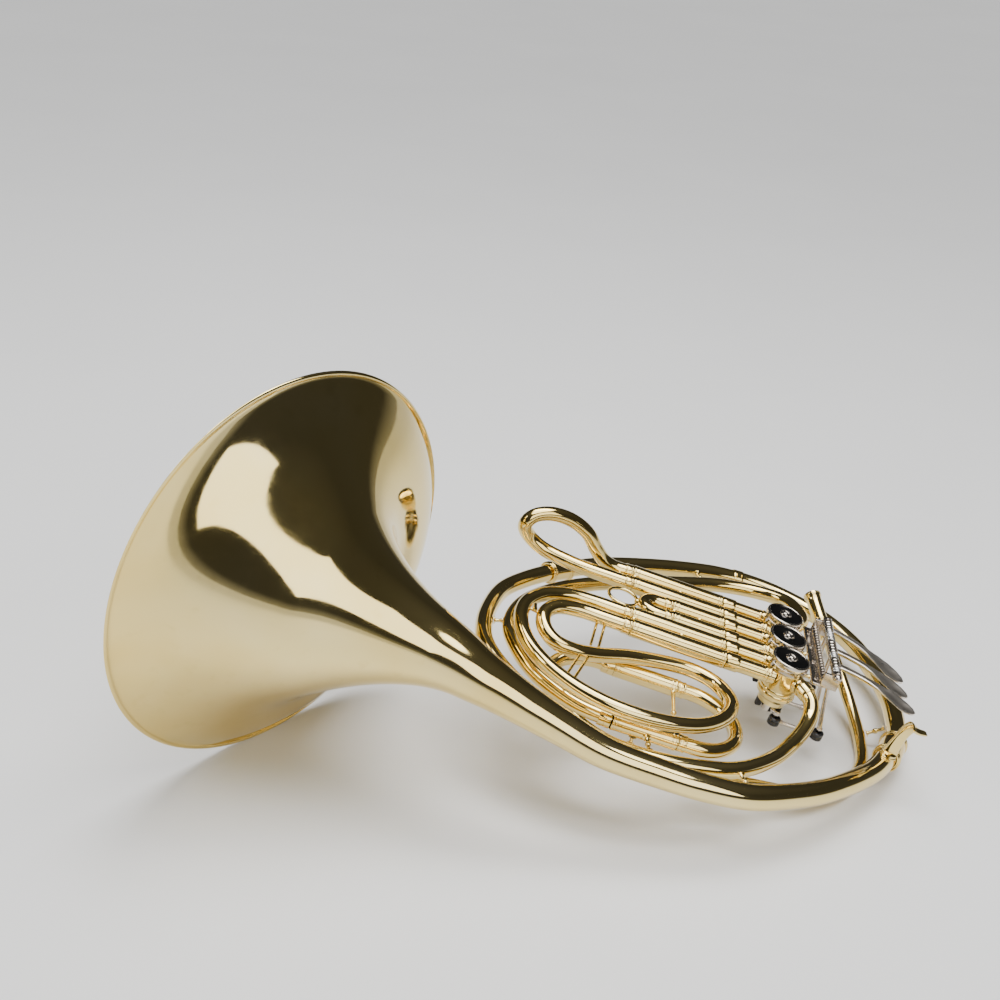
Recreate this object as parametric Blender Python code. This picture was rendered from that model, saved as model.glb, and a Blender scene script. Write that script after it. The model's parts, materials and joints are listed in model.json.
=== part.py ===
"""Single French horn in F with three rotary valves, lying valves-up on a table.

The horn is laid out in its own flat frame, in millimetres: X runs along the valve slides
(bell at -X, finger levers at +X), Y along the row of valves (first valve at +Y), and Z is the
axis of the valves, with 0 at the top face of the valve caps. The empty "horn_frame" tips that
frame so that the bell rim and the far side of the coil touch the table.
"""
import math

import bmesh
import bpy
from mathutils import Euler, Matrix, Vector

MM = 0.001
GAP = 0.3                      # clearance between neighbouring pieces

# How the horn leans when it lies on the table
LEAN_Y = math.radians(14.47)    # coil side down
LEAN_X = math.radians(1.25)

# Bell
BELL_RADIUS = 155.0
BELL_WALL = 1.2
BELL_DEPTH = 74.0               # length scale of the flare
BELL_CURVE = 1.18               # 1 is a plain exponential, more is straighter near the rim
RIM_BEAD = 2.2
TAIL_RADIUS = 8.4
TAIL_TAPER = 0.007              # growth of the tail per millimetre towards the mouth
BELL_MOUTH = Vector((-397, -103, -28))
BELL_AXIS = Vector((-0.801, 0.590, -0.099)).normalized()

# Tubing
TUBE_RADIUS = 5.9
TUBE_WALL = 0.6
SLEEVE_RADIUS = 7.1
SLEEVE_BORE = 6.5
COLLAR_RADIUS = 7.3
SLIDE_LEVEL = -16.0

# Valves
VALVE_PITCH = 33.8
LEG_OFFSET = 9.4               # half the distance between the two legs of one valve
CASING_RADIUS = 14.5
CHAMBER_RADIUS = 12.3
CASING_TOP = -2.8
CASING_BOTTOM = -42.0
CAP_RADIUS = 15.5
PORT_RADIUS = 6.1
PORT_BORE = 5.2
KNUCKLE_END = -50.0
STOP_RADIUS = 10.0             # rotor axis to the pin of its stop arm
ROD_LEVEL = -54.0

# Finger levers
HINGE_X = 36.0
HINGE_Z = 2.0
HINGE_ROD = 1.8
BARREL_RADIUS = 3.4
LEVER_TRAVEL = math.radians(15.0)
DROP_LENGTH = 56.0

BRASS = ("lacquered_brass", (0.83, 0.62, 0.27), 0.16, 1.0)
NICKEL = ("nickel_silver", (0.72, 0.70, 0.66), 0.25, 1.0)
DARK = ("dark_lacquer", (0.10, 0.10, 0.11), 0.15, 1.0)
RUBBER = ("black_rubber", (0.03, 0.03, 0.03), 0.7, 0.0)
PLASTIC = ("black_plastic", (0.02, 0.02, 0.02), 0.4, 0.0)


def material(spec):
    name, colour, roughness, metallic = spec
    found = bpy.data.materials.get(name)
    if found:
        return found
    made = bpy.data.materials.new(name)
    made.use_nodes = True
    shader = made.node_tree.nodes["Principled BSDF"]
    shader.inputs["Base Color"].default_value = (*colour, 1.0)
    shader.inputs["Roughness"].default_value = roughness
    shader.inputs["Metallic"].default_value = metallic
    return made


def clear_scene():
    for thing in list(bpy.data.objects):
        bpy.data.objects.remove(thing, do_unlink=True)


def empty(name, parent=None, location=(0, 0, 0), rotation=(0, 0, 0)):
    made = bpy.data.objects.new(name, None)
    made.empty_display_size = 0.01
    made.location = Vector(location) * MM
    made.rotation_euler = Euler(rotation)
    made.parent = parent
    bpy.context.collection.objects.link(made)
    return made


def add(name, bm, spec, parent, origin=(0, 0, 0)):
    """Turns a bmesh in horn-frame millimetres into an object whose origin is at origin."""
    origin = Vector(origin)
    bmesh.ops.translate(bm, verts=bm.verts, vec=-origin)
    bmesh.ops.scale(bm, verts=bm.verts, vec=(MM, MM, MM))
    bmesh.ops.recalc_face_normals(bm, faces=bm.faces)
    mesh = bpy.data.meshes.new(name)
    bm.to_mesh(mesh)
    bm.free()
    mesh.shade_smooth()
    mesh.set_sharp_from_angle(angle=math.radians(35))
    mesh.materials.append(material(spec))
    made = bpy.data.objects.new(name, mesh)
    made.location = origin * MM
    made.parent = parent
    bpy.context.collection.objects.link(made)
    return made


def as_tool(thing):
    thing.hide_render = True
    thing.display_type = "WIRE"
    return thing


def boolean(target, tool, operation):
    modifier = target.modifiers.new(f"{operation.lower()}_{tool.name}", "BOOLEAN")
    modifier.operation = operation
    modifier.solver = "EXACT"
    modifier.object = as_tool(tool)


def smooth_points(points, turn=20.0, reach=60.0):
    """A Catmull-Rom curve through points, with a point kept at every turn degrees of bend."""
    points = [Vector(p) for p in points]
    ends = [2 * points[0] - points[1]] + points + [2 * points[-1] - points[-2]]
    fine = []
    for a, b, c, d in zip(ends, ends[1:], ends[2:], ends[3:]):
        for k in range(16):
            t = k / 16
            fine.append(0.5 * (2 * b + (c - a) * t + (2 * a - 5 * b + 4 * c - d) * t * t
                               + (3 * b - a - 3 * c + d) * t ** 3))
    fine.append(points[-1])
    bends = [0.0]
    for p, q, r in zip(fine, fine[1:], fine[2:]):
        share = math.degrees((q - p).angle(r - q)) / turn + (q - p).length / reach
        bends.append(bends[-1] + share)
    bends.append(bends[-1])
    count = max(2, round(bends[-1]))
    out = [fine[0]]
    for p, load in zip(fine[1:-1], bends[1:-1]):
        if load >= bends[-1] * len(out) / count and len(out) < count:
            out.append(p)
    out.append(fine[-1])
    return out


def frames(path):
    """Tangent and two cross directions at each point, carried along without twisting."""
    tangents = []
    for k in range(len(path)):
        ahead = path[min(k + 1, len(path) - 1)]
        behind = path[max(k - 1, 0)]
        tangents.append((ahead - behind).normalized())
    side = tangents[0].orthogonal().normalized()
    result = []
    for k, tangent in enumerate(tangents):
        if k:
            side = tangents[k - 1].rotation_difference(tangent) @ side
        side = (side - side.dot(tangent) * tangent).normalized()
        result.append((tangent, side, tangent.cross(side)))
    return result


def ring(bm, centre, side, up, radius, sides):
    verts = []
    for k in range(sides):
        angle = 2 * math.pi * k / sides
        verts.append(bm.verts.new(centre + radius * (math.cos(angle) * side + math.sin(angle) * up)))
    return verts


def bridge(bm, first, second):
    count = len(first)
    for k in range(count):
        bm.faces.new((first[k], first[(k + 1) % count], second[(k + 1) % count], second[k]))


def pipe(path, outer, inner, sides=10):
    """An open tube along path: outer and inner give the radii at each point."""
    bm = bmesh.new()
    skins = []
    for radii in (outer, inner):
        rings = [ring(bm, p, s, u, r, sides)
                 for p, (_, s, u), r in zip(path, frames(path), radii)]
        for a, b in zip(rings, rings[1:]):
            bridge(bm, a, b)
        skins.append(rings)
    bridge(bm, skins[0][0], skins[1][0])
    bridge(bm, skins[0][-1], skins[1][-1])
    return bm


def rod(path, radii, sides=10):
    """A solid round bar along path."""
    bm = bmesh.new()
    rings = [ring(bm, p, s, u, r, sides)
             for p, (_, s, u), r in zip(path, frames(path), radii)]
    for a, b in zip(rings, rings[1:]):
        bridge(bm, a, b)
    bm.faces.new(rings[0])
    bm.faces.new(rings[-1])
    return bm


def straight(start, end, radius, sides=10):
    return rod([Vector(start), Vector(end)], [radius, radius], sides)


def turned(profile, centre, axis=(0, 0, 1), sides=16):
    """A solid of revolution: profile lists (radius, height) and closes on itself."""
    axis = Vector(axis).normalized()
    side = axis.orthogonal().normalized()
    up = axis.cross(side)
    centre = Vector(centre)
    bm = bmesh.new()
    rings = []
    for radius, height in profile:
        at = centre + axis * height
        rings.append([bm.verts.new(at)] if radius == 0 else ring(bm, at, side, up, radius, sides))
    pairs = list(zip(rings, rings[1:]))
    if profile[0][0] and profile[-1][0]:
        pairs.append((rings[-1], rings[0]))
    for a, b in pairs:
        if len(a) == 1 and len(b) == 1:
            continue
        if len(a) > 1 and len(b) > 1:
            bridge(bm, a, b)
            continue
        hub, edge = (a[0], b) if len(a) == 1 else (b[0], a)
        for k in range(len(edge)):
            bm.faces.new((hub, edge[k], edge[(k + 1) % len(edge)]))
    return bm


def box(low, high):
    low, high = Vector(low), Vector(high)
    bm = bmesh.new()
    bmesh.ops.create_cube(bm, size=1.0)
    for vert in bm.verts:
        vert.co = Vector(((low[k] + high[k]) / 2 + vert.co[k] * (high[k] - low[k]) for k in range(3)))
    return bm


def strip(path, across, widths, thickness, dish=0.0, columns=4):
    """A thin curved blade along path: across gives its width direction, dish its hollow."""
    bm = bmesh.new()
    loops = []
    before = Vector((0, 0, 1))
    for k, (p, width) in enumerate(zip(path, widths)):
        ahead = path[min(k + 1, len(path) - 1)] - path[max(k - 1, 0)]
        side = (across - across.dot(ahead) / ahead.length_squared * ahead).normalized()
        normal = side.cross(ahead).normalized()
        if normal.dot(before) < 0:
            normal = -normal
        before = normal
        top, low = [], []
        for c in range(columns + 1):
            u = 2 * c / columns - 1
            sag = -dish * (width / max(widths)) * (1 - u * u)
            at = p + side * (u * width / 2) + normal * sag
            top.append(bm.verts.new(at + normal * thickness / 2))
            low.append(bm.verts.new(at - normal * thickness / 2))
        loops.append(top + low[::-1])
    for a, b in zip(loops, loops[1:]):
        bridge(bm, a, b)
    bm.faces.new(loops[0])
    bm.faces.new(loops[-1])
    return bm


# ---------------------------------------------------------------- bell and main tubing

TAIL_ROUTE = [(-270, -162, -18), (-235, -172, -21), (-200, -178, -27), (-171, -182, -32),
              (-136, -187, -37), (-96, -188, -38), (-62, -187, -38), (-28, -180, -38),
              (5, -162, -38), (38, -137, -38), (75, -97, -38), (95, -62, -38)]
OUTER_ROUTE = [(98, -54, -38), (106, -30, -38), (108, 0, -38), (106, 28, -38), (99, 62, -39),
               (84, 98, -40), (60, 126, -41), (30, 143, -42), (-2, 149, -42), (-38, 145, -42),
               (-75, 132, -43), (-112, 114, -44), (-148, 94, -46), (-180, 68, -48)]
VALVE_ROUTE = [(-186, 62, -48), (-208, 36, -49), (-225, 10, -50), (-233, -18, -50),
               (-236, -50, -50), (-231, -80, -50), (-213, -108, -50), (-187, -133, -49),
               (-156, -152, -48), (-125, -161, -47), (-95, -163, -45), (-64, -158, -43),
               (-34, -147, -41), (-6, -122, -38), (13, -93, -33), (19, -69, -27),
               (22, -59, -19), (17, -51, -16)]
LEADPIPE_ROUTE = [(47, 85, -24), (56, 64, -31), (66, 40, -40), (78, 8, -51), (84, -25, -57),
                  (81, -58, -59), (62, -94, -60), (28, -120, -60), (-12, -131, -60),
                  (-56, -139, -60), (-100, -142, -60), (-138, -134, -60), (-168, -112, -58),
                  (-181, -88, -54), (-172, -68, -48), (-150, -61, -44), (-131, -61, -44)]
INLET_ROUTE = [(-131.6, -133, -44), (-160, -128, -44), (-190, -108, -44), (-209, -80, -44),
               (-217, -50, -44), (-210, -15, -44), (-190, 18, -44), (-160, 46, -42),
               (-120, 70, -38), (-80, 90, -35), (-45, 105, -32), (-12, 109, -28),
               (12, 97, -21), (21, 78, -17), (23, 62, -16), (17, 51, -16)]
MOUTHPIECE_DIRECTION = Vector((-0.358, 0.870, 0.338)).normalized()
RECEIVER_LENGTH = 30.0


def along(points, distances):
    """The places at the given distances along a chain of points."""
    walked = [0.0]
    for p, q in zip(points, points[1:]):
        walked.append(walked[-1] + (q - p).length)
    out = []
    k = 0
    for distance in distances:
        while k < len(points) - 2 and walked[k + 1] < distance:
            k += 1
        out.append(points[k].lerp(points[k + 1], (distance - walked[k]) / (walked[k + 1] - walked[k])))
    return out, walked[-1]


def bell(parent):
    """Flare and tail in one spun piece, with a rolled bead round the mouth."""
    bead = {0: 0.5, 1.4: RIM_BEAD, 3.8: RIM_BEAD, 5.2: 0.4}
    line = smooth_points([BELL_MOUTH, BELL_MOUTH - BELL_AXIS * 62] + TAIL_ROUTE, 2.0, 8.0)
    length = along(line, [0])[1]
    distances = [*bead, 9, 15, 24, 36, 48, 62, 78, 96, 115, 136, 160, 190, 225, 260]
    left = length - distances[-1]
    distances += [distances[-1] + left * k / 12 for k in range(1, 13)]
    path = along(line, distances)[0]
    start = TAIL_RADIUS + TAIL_TAPER * length
    outer = []
    inner = []
    for distance in distances:
        reach = (distance / BELL_DEPTH) ** BELL_CURVE
        flare = (BELL_RADIUS - start) * math.exp(-reach)
        slope = flare * BELL_CURVE * reach / max(distance, 1)
        radius = flare + TAIL_RADIUS + TAIL_TAPER * (length - distance)
        outer.append(radius + bead.get(distance, 0.0))
        inner.append(radius - BELL_WALL * math.hypot(1, slope))
    return add("bell", pipe(path, outer, inner, 22), BRASS, parent)


def tapered(name, route, start, end, parent, port=None):
    """A tapering tube; port, when given, is the centre and direction of the opening it meets."""
    path = smooth_points(route, 24.0, 75.0)
    if port:
        foot, ahead = port
        path[-1] = foot + ahead * 5.5
        path.append(foot + ahead * 0.4)
    last = len(path) - 1
    outer = [start + (end - start) * k / last for k in range(last + 1)]
    inner = [r - TUBE_WALL for r in outer]
    return add(name, pipe(path, outer, inner, 8), BRASS, parent)


def ferrule(name, points, radius, parent, sides=10):
    """A soldered sleeve over the joint of two tubes, with a raised ring at each end."""
    path = smooth_points(points, 12.0, 6.0)
    bore = (radius + GAP) / math.cos(math.pi / sides)
    outer = [bore + (1.6 if k in (0, len(path) - 1) else 0.9) for k in range(len(path))]
    return add(name, pipe(path, outer, [bore] * len(path), sides), BRASS, parent)


def receiver(parent):
    mouth = Vector(LEADPIPE_ROUTE[0]) + MOUTHPIECE_DIRECTION * (RECEIVER_LENGTH + GAP)
    heights = [0, 3, 3.4, RECEIVER_LENGTH]
    radii = [7.4, 7.4, 6.5, 6.1]
    path = [mouth - MOUTHPIECE_DIRECTION * h for h in heights]
    bores = [4.6 - 0.02 * h for h in heights]
    return add("mouthpiece_receiver", pipe(path, radii, bores, 12), NICKEL, parent)


# ---------------------------------------------------------------- valves

def valve_y(number):
    return (2 - number) * VALVE_PITCH


def side_port(number, end):
    """Centre and direction of the outer opening of an end valve (end is 1 towards +Y)."""
    ahead = Vector((1, end, 0)).normalized()
    return Vector((0, valve_y(number), SLIDE_LEVEL)) + ahead * (VALVE_PITCH / 2 + 0.45), ahead


def casing(number, parent):
    y = valve_y(number)
    centre = (0, y, 0)
    profile = [(CHAMBER_RADIUS, CASING_TOP), (CASING_RADIUS, CASING_TOP), (CASING_RADIUS, -35),
               (13.2, -37.5), (11.4, -38.6), (11.4, CASING_BOTTOM), (3.4, CASING_BOTTOM),
               (3.4, -33), (CHAMBER_RADIUS, -33)]
    made = add(f"valve_casing_{number}", turned(profile, centre), BRASS, parent, centre)
    ports = [(Vector((0, s * LEG_OFFSET, SLIDE_LEVEL)), Vector((-1, 0, 0)), 9.5, -KNUCKLE_END)
             for s in (1, -1)]
    half = VALVE_PITCH / 2 - GAP / 2
    for end in (1, -1):
        outermost = number == 2 - end
        ahead = Vector((1, end, 0)).normalized() if outermost else Vector((0, end, 0))
        ports.append((Vector((0, 0, SLIDE_LEVEL)), ahead, 12.9, half + 0.6 if outermost else half))
    for k, (foot, ahead, near, far) in enumerate(ports):
        foot = foot + Vector(centre)
        stub = straight(foot + ahead * near, foot + ahead * far, PORT_RADIUS, 10)
        boolean(made, add(f"stub_{number}_{k}", stub, BRASS, parent), "UNION")
    clear = CHAMBER_RADIUS - 0.1
    chamber = [(0, -32.9), (clear, -32.9), (clear, CASING_TOP + 1), (0, CASING_TOP + 1)]
    boolean(made, add(f"chamber_{number}", turned(chamber, centre), BRASS, parent), "DIFFERENCE")
    for k, (foot, ahead, near, far) in enumerate(ports):
        foot = foot + Vector(centre)
        inside = foot + ahead * (near - (0.3 if k < 2 else 3.0))
        hole = straight(inside, foot + ahead * (far + 4), PORT_BORE, 8)
        boolean(made, add(f"port_{number}_{k}", hole, BRASS, parent), "DIFFERENCE")


def cap(number, parent):
    profile = [(0, 1.4), (3.0, 1.4), (3.4, 0.9), (4.6, 0.9), (5.2, 0), (14.6, 0), (CAP_RADIUS, -0.9),
               (CAP_RADIUS, -9), (14.9, -9), (14.9, -2.5), (0, -2.5)]
    centre = (0, valve_y(number), 0)
    return add(f"valve_cap_{number}", turned(profile, centre), DARK, parent, centre)


def bearing(number, parent):
    profile = [(3.4, -3.1), (11.9, -3.1), (11.9, -6.2), (3.4, -6.2)]
    centre = (0, valve_y(number), 0)
    return add(f"bearing_plate_{number}", turned(profile, centre), BRASS, parent, centre)


def rotor(number, parent):
    """Brass plug with its two air passages and the spindle that drives it."""
    y = valve_y(number)
    profile = [(0, -3.4), (3.0, -3.4), (3.0, -6.6), (11.9, -6.6), (11.9, -32.6), (3.0, -32.6),
               (3.0, -50.8), (0, -50.8)]
    made = add(f"rotor_{number}", turned(profile, (0, y, 0)), BRASS, parent, (0, y, 0))
    for k, x in enumerate((6.4, -6.8)):
        hole = straight((x, y - 20, SLIDE_LEVEL), (x, y + 20, SLIDE_LEVEL), PORT_BORE, 8)
        boolean(made, add(f"passage_{number}_{k}", hole, BRASS, parent), "DIFFERENCE")


def stop_arm(number, parent):
    y = valve_y(number)
    reach = STOP_RADIUS * math.sqrt(0.5)
    tip = Vector((reach, y - reach, 0))
    hub = [(3.3, -44.5), (5.3, -44.5), (5.3, -50.4), (3.3, -50.4)]
    made = add(f"stop_arm_{number}", turned(hub, (0, y, 0), sides=12), NICKEL, parent, (0, y, 0))
    ahead = (tip - Vector((0, y, 0))).normalized()
    level = Vector((0, 0, -47.5))
    arm = straight(Vector((0, y, 0)) + ahead * 4.2 + level, tip + ahead * 1.6 + level, 2.2, 6)
    boolean(made, add(f"stop_bar_{number}", arm, NICKEL, parent), "UNION")
    pin = [(0, -46.5), (1.3, -46.5), (1.3, -57), (2.6, -57), (2.6, -58.2), (0, -58.2)]
    boolean(made, add(f"stop_pin_{number}", turned(pin, tip, sides=8), NICKEL, parent), "UNION")


def bumper(number, parent):
    """Rubber crescent whose two ends stop the arm a quarter turn apart."""
    y = valve_y(number)
    bm = bmesh.new()
    sections = []
    for k in range(9):
        angle = math.radians(-12 + 204 * k / 8)
        out = Vector((math.cos(angle), math.sin(angle), 0))
        section = []
        for radius, level in ((6.1, -42.3), (10.8, -42.3), (10.8, -49.6), (6.1, -49.6)):
            section.append(bm.verts.new(Vector((0, y, level)) + out * radius))
        sections.append(section)
    for a, b in zip(sections, sections[1:]):
        bridge(bm, a, b)
    bm.faces.new(sections[0])
    bm.faces.new(sections[-1])
    return add(f"bumper_{number}", bm, RUBBER, parent, (0, y, 0))


# ---------------------------------------------------------------- slides

def sleeves(name, leg_ys, level, start, end, parent):
    """Two fixed outer tubes with a collar at each open end and a brace between them."""
    direction = math.copysign(1, end - start)
    made = None
    for k, y in enumerate(leg_ys):
        stations = [start, end - 3.1 * direction, end - 3 * direction, end]
        path = [Vector((x, y, level)) for x in stations]
        radii = [SLEEVE_RADIUS, SLEEVE_RADIUS, COLLAR_RADIUS, COLLAR_RADIUS]
        tube = add(name if k == 0 else f"{name}_second", pipe(path, radii, [SLEEVE_BORE] * 4, 10),
                   BRASS, parent)
        if k == 0:
            made = tube
        else:
            boolean(made, tube, "UNION")
    low, high = min(leg_ys) + 6.8, max(leg_ys) - 6.8
    at = end - direction * 1.6
    bar = straight((at, low, level), (at, high, level), 1.4, 6)
    boolean(made, add(f"{name}_bar", bar, BRASS, parent), "UNION")
    return made


def crook(name, first, bow, last, mouth, parent):
    """A sliding bow. Its legs start inside the sleeves at x = first[0] and last[0]; mouth is
    where the sleeves end, and a collar on each leg stops against them there."""
    direction = math.copysign(1, mouth - first[0])
    path = []
    radii = []

    def leg(x, y, level):
        stations = [x, mouth + GAP * direction, mouth + 0.5 * direction, mouth + 6.8 * direction,
                    mouth + 7 * direction]
        return [Vector((at, y, level)) for at in stations]

    leg_radii = [TUBE_RADIUS, TUBE_RADIUS, COLLAR_RADIUS, COLLAR_RADIUS, TUBE_RADIUS]
    path = leg(*first)
    radii = list(leg_radii)
    way_back = leg(*last)
    middle = smooth_points([path[-1]] + bow + [way_back[-1]], 26.0, 80.0)[1:-1]
    path += middle
    radii += [TUBE_RADIUS] * len(middle)
    path += way_back[::-1]
    radii += leg_radii[::-1]
    return add(name, pipe(path, radii, [TUBE_RADIUS - TUBE_WALL] * len(path), 8), BRASS, parent)


FIRST_SLEEVE = (-50.3, -128.0)
SECOND_SLEEVE = (-50.3, -94.0)
TUNING_SLEEVE = (-130.7, -80.0)


def half_turn(x, y, radius, level, direction, steps=6):
    """Points round a U bend whose first leg is at y + radius."""
    points = []
    for k in range(steps + 1):
        angle = math.pi * k / steps
        points.append((x + direction * radius * math.sin(angle), y + radius * math.cos(angle), level))
    return points


def first_slide(parent):
    leg_1, leg_2 = VALVE_PITCH + LEG_OFFSET, VALVE_PITCH - LEG_OFFSET
    z = SLIDE_LEVEL
    sleeves("first_slide_sleeves", (leg_1, leg_2), z, *FIRST_SLEEVE, parent)
    bow = [(-165, 24.4, -16), (-182, 26, -16), (-205, 29, -14), (-220, 29, -7), (-227, 24, 4),
           (-222, 27, 13), (-209, 32, 17), (-192, 37, 15), (-176, 39, 8), (-165, 40, -3),
           (-155, 42, -12), (-145, 43.2, -16)]
    return crook("first_slide", (-72, leg_2, z), bow, (-72, leg_1, z), FIRST_SLEEVE[1], parent)


def second_slide(parent):
    z = SLIDE_LEVEL
    sleeves("second_slide_sleeves", (LEG_OFFSET, -LEG_OFFSET), z, *SECOND_SLEEVE, parent)
    bow = half_turn(-108, 0, LEG_OFFSET, z, -1)
    made = crook("second_slide", (-62, LEG_OFFSET, z), bow, (-62, -LEG_OFFSET, z), SECOND_SLEEVE[1], parent)
    loop = [(12.0 + 1.5 * math.cos(a), 1.5 * math.sin(a)) for a in [math.pi * k / 2 for k in range(4)]]
    pull = turned(loop, (-135.2, 0, z), sides=16)
    boolean(made, add("pull_ring_tool", pull, BRASS, parent), "UNION")
    return made


def third_slide(parent):
    leg_5, leg_6 = -VALVE_PITCH + LEG_OFFSET, -VALVE_PITCH - LEG_OFFSET
    z = SLIDE_LEVEL
    sleeves("third_slide_sleeves", (leg_5, leg_6), z, *FIRST_SLEEVE, parent)
    loop = [(-160, -24.4, -16), (-180, -27, -16), (-199, -36, -17), (-211, -52, -19), (-214, -71, -21),
            (-210, -90, -23), (-200, -107, -25), (-184, -123, -26), (-161, -137, -26),
            (-134, -144, -26), (-102, -143, -26), (-71, -132, -26), (-51, -113, -26), (-42, -89, -27),
            (-46, -68, -29), (-58, -55, -30), (-76, -51, -30), (-100, -55, -30), (-125, -63, -30),
            (-149, -75, -30), (-169, -82, -29), (-185, -81, -27), (-195, -72, -23), (-196, -59, -19),
            (-187, -49, -16), (-168, -43.5, -16), (-150, -43.2, -16)]
    made = crook("third_slide", (-72, leg_5, z), loop, (-72, leg_6, z), FIRST_SLEEVE[1], parent)
    struts = [((-150, -46, -21), (-152, -70, -27)), ((-160, -84, -29), (-170, -128, -26)),
              ((-210, -60, -19), (-199, -62, -20))]
    for k, (a, b) in enumerate(struts):
        bar = straight(a, b, 1.6, 6)
        boolean(made, add(f"third_slide_strut_{k}", bar, BRASS, parent), "UNION")
    return made


def tuning_slide(parent):
    """The main tuning slide lies under the third slide and pulls out towards the levers."""
    near, far, z = -61, -133, -44
    sleeves("tuning_slide_sleeves", (near, far), z, *TUNING_SLEEVE, parent)
    bow = half_turn(-68, (near + far) / 2, (near - far) / 2, z, 1)
    return crook("tuning_slide", (-112, near, z), bow, (-112, far, z), TUNING_SLEEVE[1], parent)


# ---------------------------------------------------------------- levers and linkage

BARRELS = {1: (38.0, 22.0), 2: (6.4, -10.6), 3: (-20.0, -33.0)}
SPRINGS = {1: (21.7, 6.7), 2: (-10.9, -19.7), 3: (-33.3, -41.0)}
ARM_STARTS = {1: 29.0, 2: -3.0, 3: -26.0}
PADDLE_TIPS = {1: (90, -27), 2: (91, -48), 3: (94, -69)}


def rod_y(number):
    """The linkage rods run straight along X, half-way between the arm's extreme reaches."""
    return valve_y(number) - STOP_RADIUS * (1 + math.sqrt(0.5)) / 2


def lever(number, parent):
    high, low = BARRELS[number]
    pivot = Vector((HINGE_X, 0, HINGE_Z))
    barrel = [(HINGE_ROD + GAP, low), (BARREL_RADIUS, low), (BARREL_RADIUS, high), (HINGE_ROD + GAP, high)]
    made = add(f"lever_{number}", turned(barrel, pivot, (0, 1, 0), 12), NICKEL, parent, pivot)
    start = Vector((HINGE_X + 6, ARM_STARTS[number] - 1, HINGE_Z + 0.9))
    tip = Vector((*PADDLE_TIPS[number], HINGE_Z + 5))
    along = (tip - start).normalized()
    across = Vector((-along.y, along.x, 0)).normalized()
    share = [0, 0.18, 0.36, 0.5, 0.62, 0.74, 0.86, 0.95, 1.0]
    widths = [6.5, 6.5, 6, 6, 8, 12, 15, 15.5, 12, 6]
    path = [Vector((HINGE_X + 2.9, ARM_STARTS[number], HINGE_Z + 0.4))]
    for s in share:
        rise = 3.0 * math.sin(math.pi * min(1.0, s * 1.1))
        path.append(start.lerp(tip, s) + Vector((0, 0, rise)))
    blade = strip(path, across, widths, 1.5, 1.6, 2)
    boolean(made, add(f"paddle_{number}", blade, NICKEL, parent), "UNION")
    lean = LEVER_TRAVEL / 2
    foot = Vector((HINGE_X + DROP_LENGTH * math.sin(lean), rod_y(number), -48))
    head_y = min(max(rod_y(number), low + 3), high - 3)
    drop = [Vector((HINGE_X + 0.6, head_y, HINGE_Z - 2.7)), Vector((HINGE_X + 1, head_y, -12)),
            Vector((HINGE_X + 4, (head_y + foot.y) / 2, -32)), foot]
    boolean(made, add(f"drop_arm_{number}", rod(drop, [1.9] * len(drop), 6), NICKEL, parent), "UNION")
    pin = [(0, -47), (4.0, -47), (4.0, -49.6), (1.3, -49.6), (1.3, -57), (2.6, -57), (2.6, -58.2),
           (0, -58.2)]
    ball = turned(pin, (foot.x, foot.y, 0), sides=8)
    boolean(made, add(f"lever_pin_{number}", ball, NICKEL, parent), "UNION")
    return made


def link_rod(number, parent):
    """Steel rod with a plastic-lined eye at each end."""
    y = rod_y(number)
    left = STOP_RADIUS * math.sqrt(0.5)
    right = HINGE_X + DROP_LENGTH * math.sin(LEVER_TRAVEL / 2)
    origin = (left, y, ROD_LEVEL)
    eye = [(3.2, -1.7), (4.9, -1.7), (4.9, 1.7), (3.2, 1.7)]
    made = add(f"link_rod_{number}", turned(eye, origin, sides=12), PLASTIC, parent, origin)
    socket = [(2.9, -1.7), (5.1, -1.7), (5.1, 1.7), (2.9, 1.7)]
    boolean(made, add(f"socket_{number}", turned(socket, (right, y, ROD_LEVEL), sides=12),
                      PLASTIC, parent), "UNION")
    bar = straight((left + 4.1, y, ROD_LEVEL), (right - 4.2, y, ROD_LEVEL), 1.2, 6)
    boolean(made, add(f"rod_bar_{number}", bar, NICKEL, parent), "UNION")
    return made


def hinge(parent):
    axis = (0, 1, 0)
    at = (HINGE_X, 0, HINGE_Z)
    shaft = [(0, -47.5), (2.8, -46.8), (3.0, -45), (HINGE_ROD, -44.9), (HINGE_ROD, 41.4), (3.0, 41.5),
             (3.0, 43), (2.0, 44.2), (0, 44.4)]
    add("hinge_rod", turned(shaft, at, axis, 12), NICKEL, parent)
    plate = add("hinge_bracket", box((20, -44.6, -11), (30, 41.1, -8.6)), NICKEL, parent)
    for k, (low, high) in enumerate(((-44.6, -41.3), (38.3, 41.1))):
        post = box((26, low, -11), (HINGE_X + 4, high, HINGE_Z + 4))
        boolean(plate, add(f"post_{k}", post, NICKEL, parent), "UNION")
    hole = straight((HINGE_X, -50, HINGE_Z), (HINGE_X, 50, HINGE_Z), HINGE_ROD + GAP, 12)
    boolean(plate, add("hinge_hole", hole, NICKEL, parent), "DIFFERENCE")
    for number, (high, low) in SPRINGS.items():
        coil = [(HINGE_ROD + 0.4, low), (4.3, low), (4.3, high), (HINGE_ROD + 0.4, high)]
        add(f"lever_spring_{number}", turned(coil, at, axis, 12), NICKEL, parent, at)


def finger_hook(parent):
    """Hook for the little finger, soldered to the tail of the bell."""
    route = [(88.5, -77, -28.4), (89.5, -77, -17), (91, -77.5, -6), (93, -80.5, 3), (95, -86, 7),
             (96.5, -91.5, 5.5)]
    path = smooth_points(route, 24.0, 12.0)
    last = len(path) - 1
    widths = [11 - 3 * math.sin(math.pi * k / last) + 1.5 * k / last for k in range(last + 1)]
    made = add("finger_hook", strip(path, Vector((0.92, -0.1, -0.3)), widths, 2.0, 0.0, 2), BRASS, parent)
    return made


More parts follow.
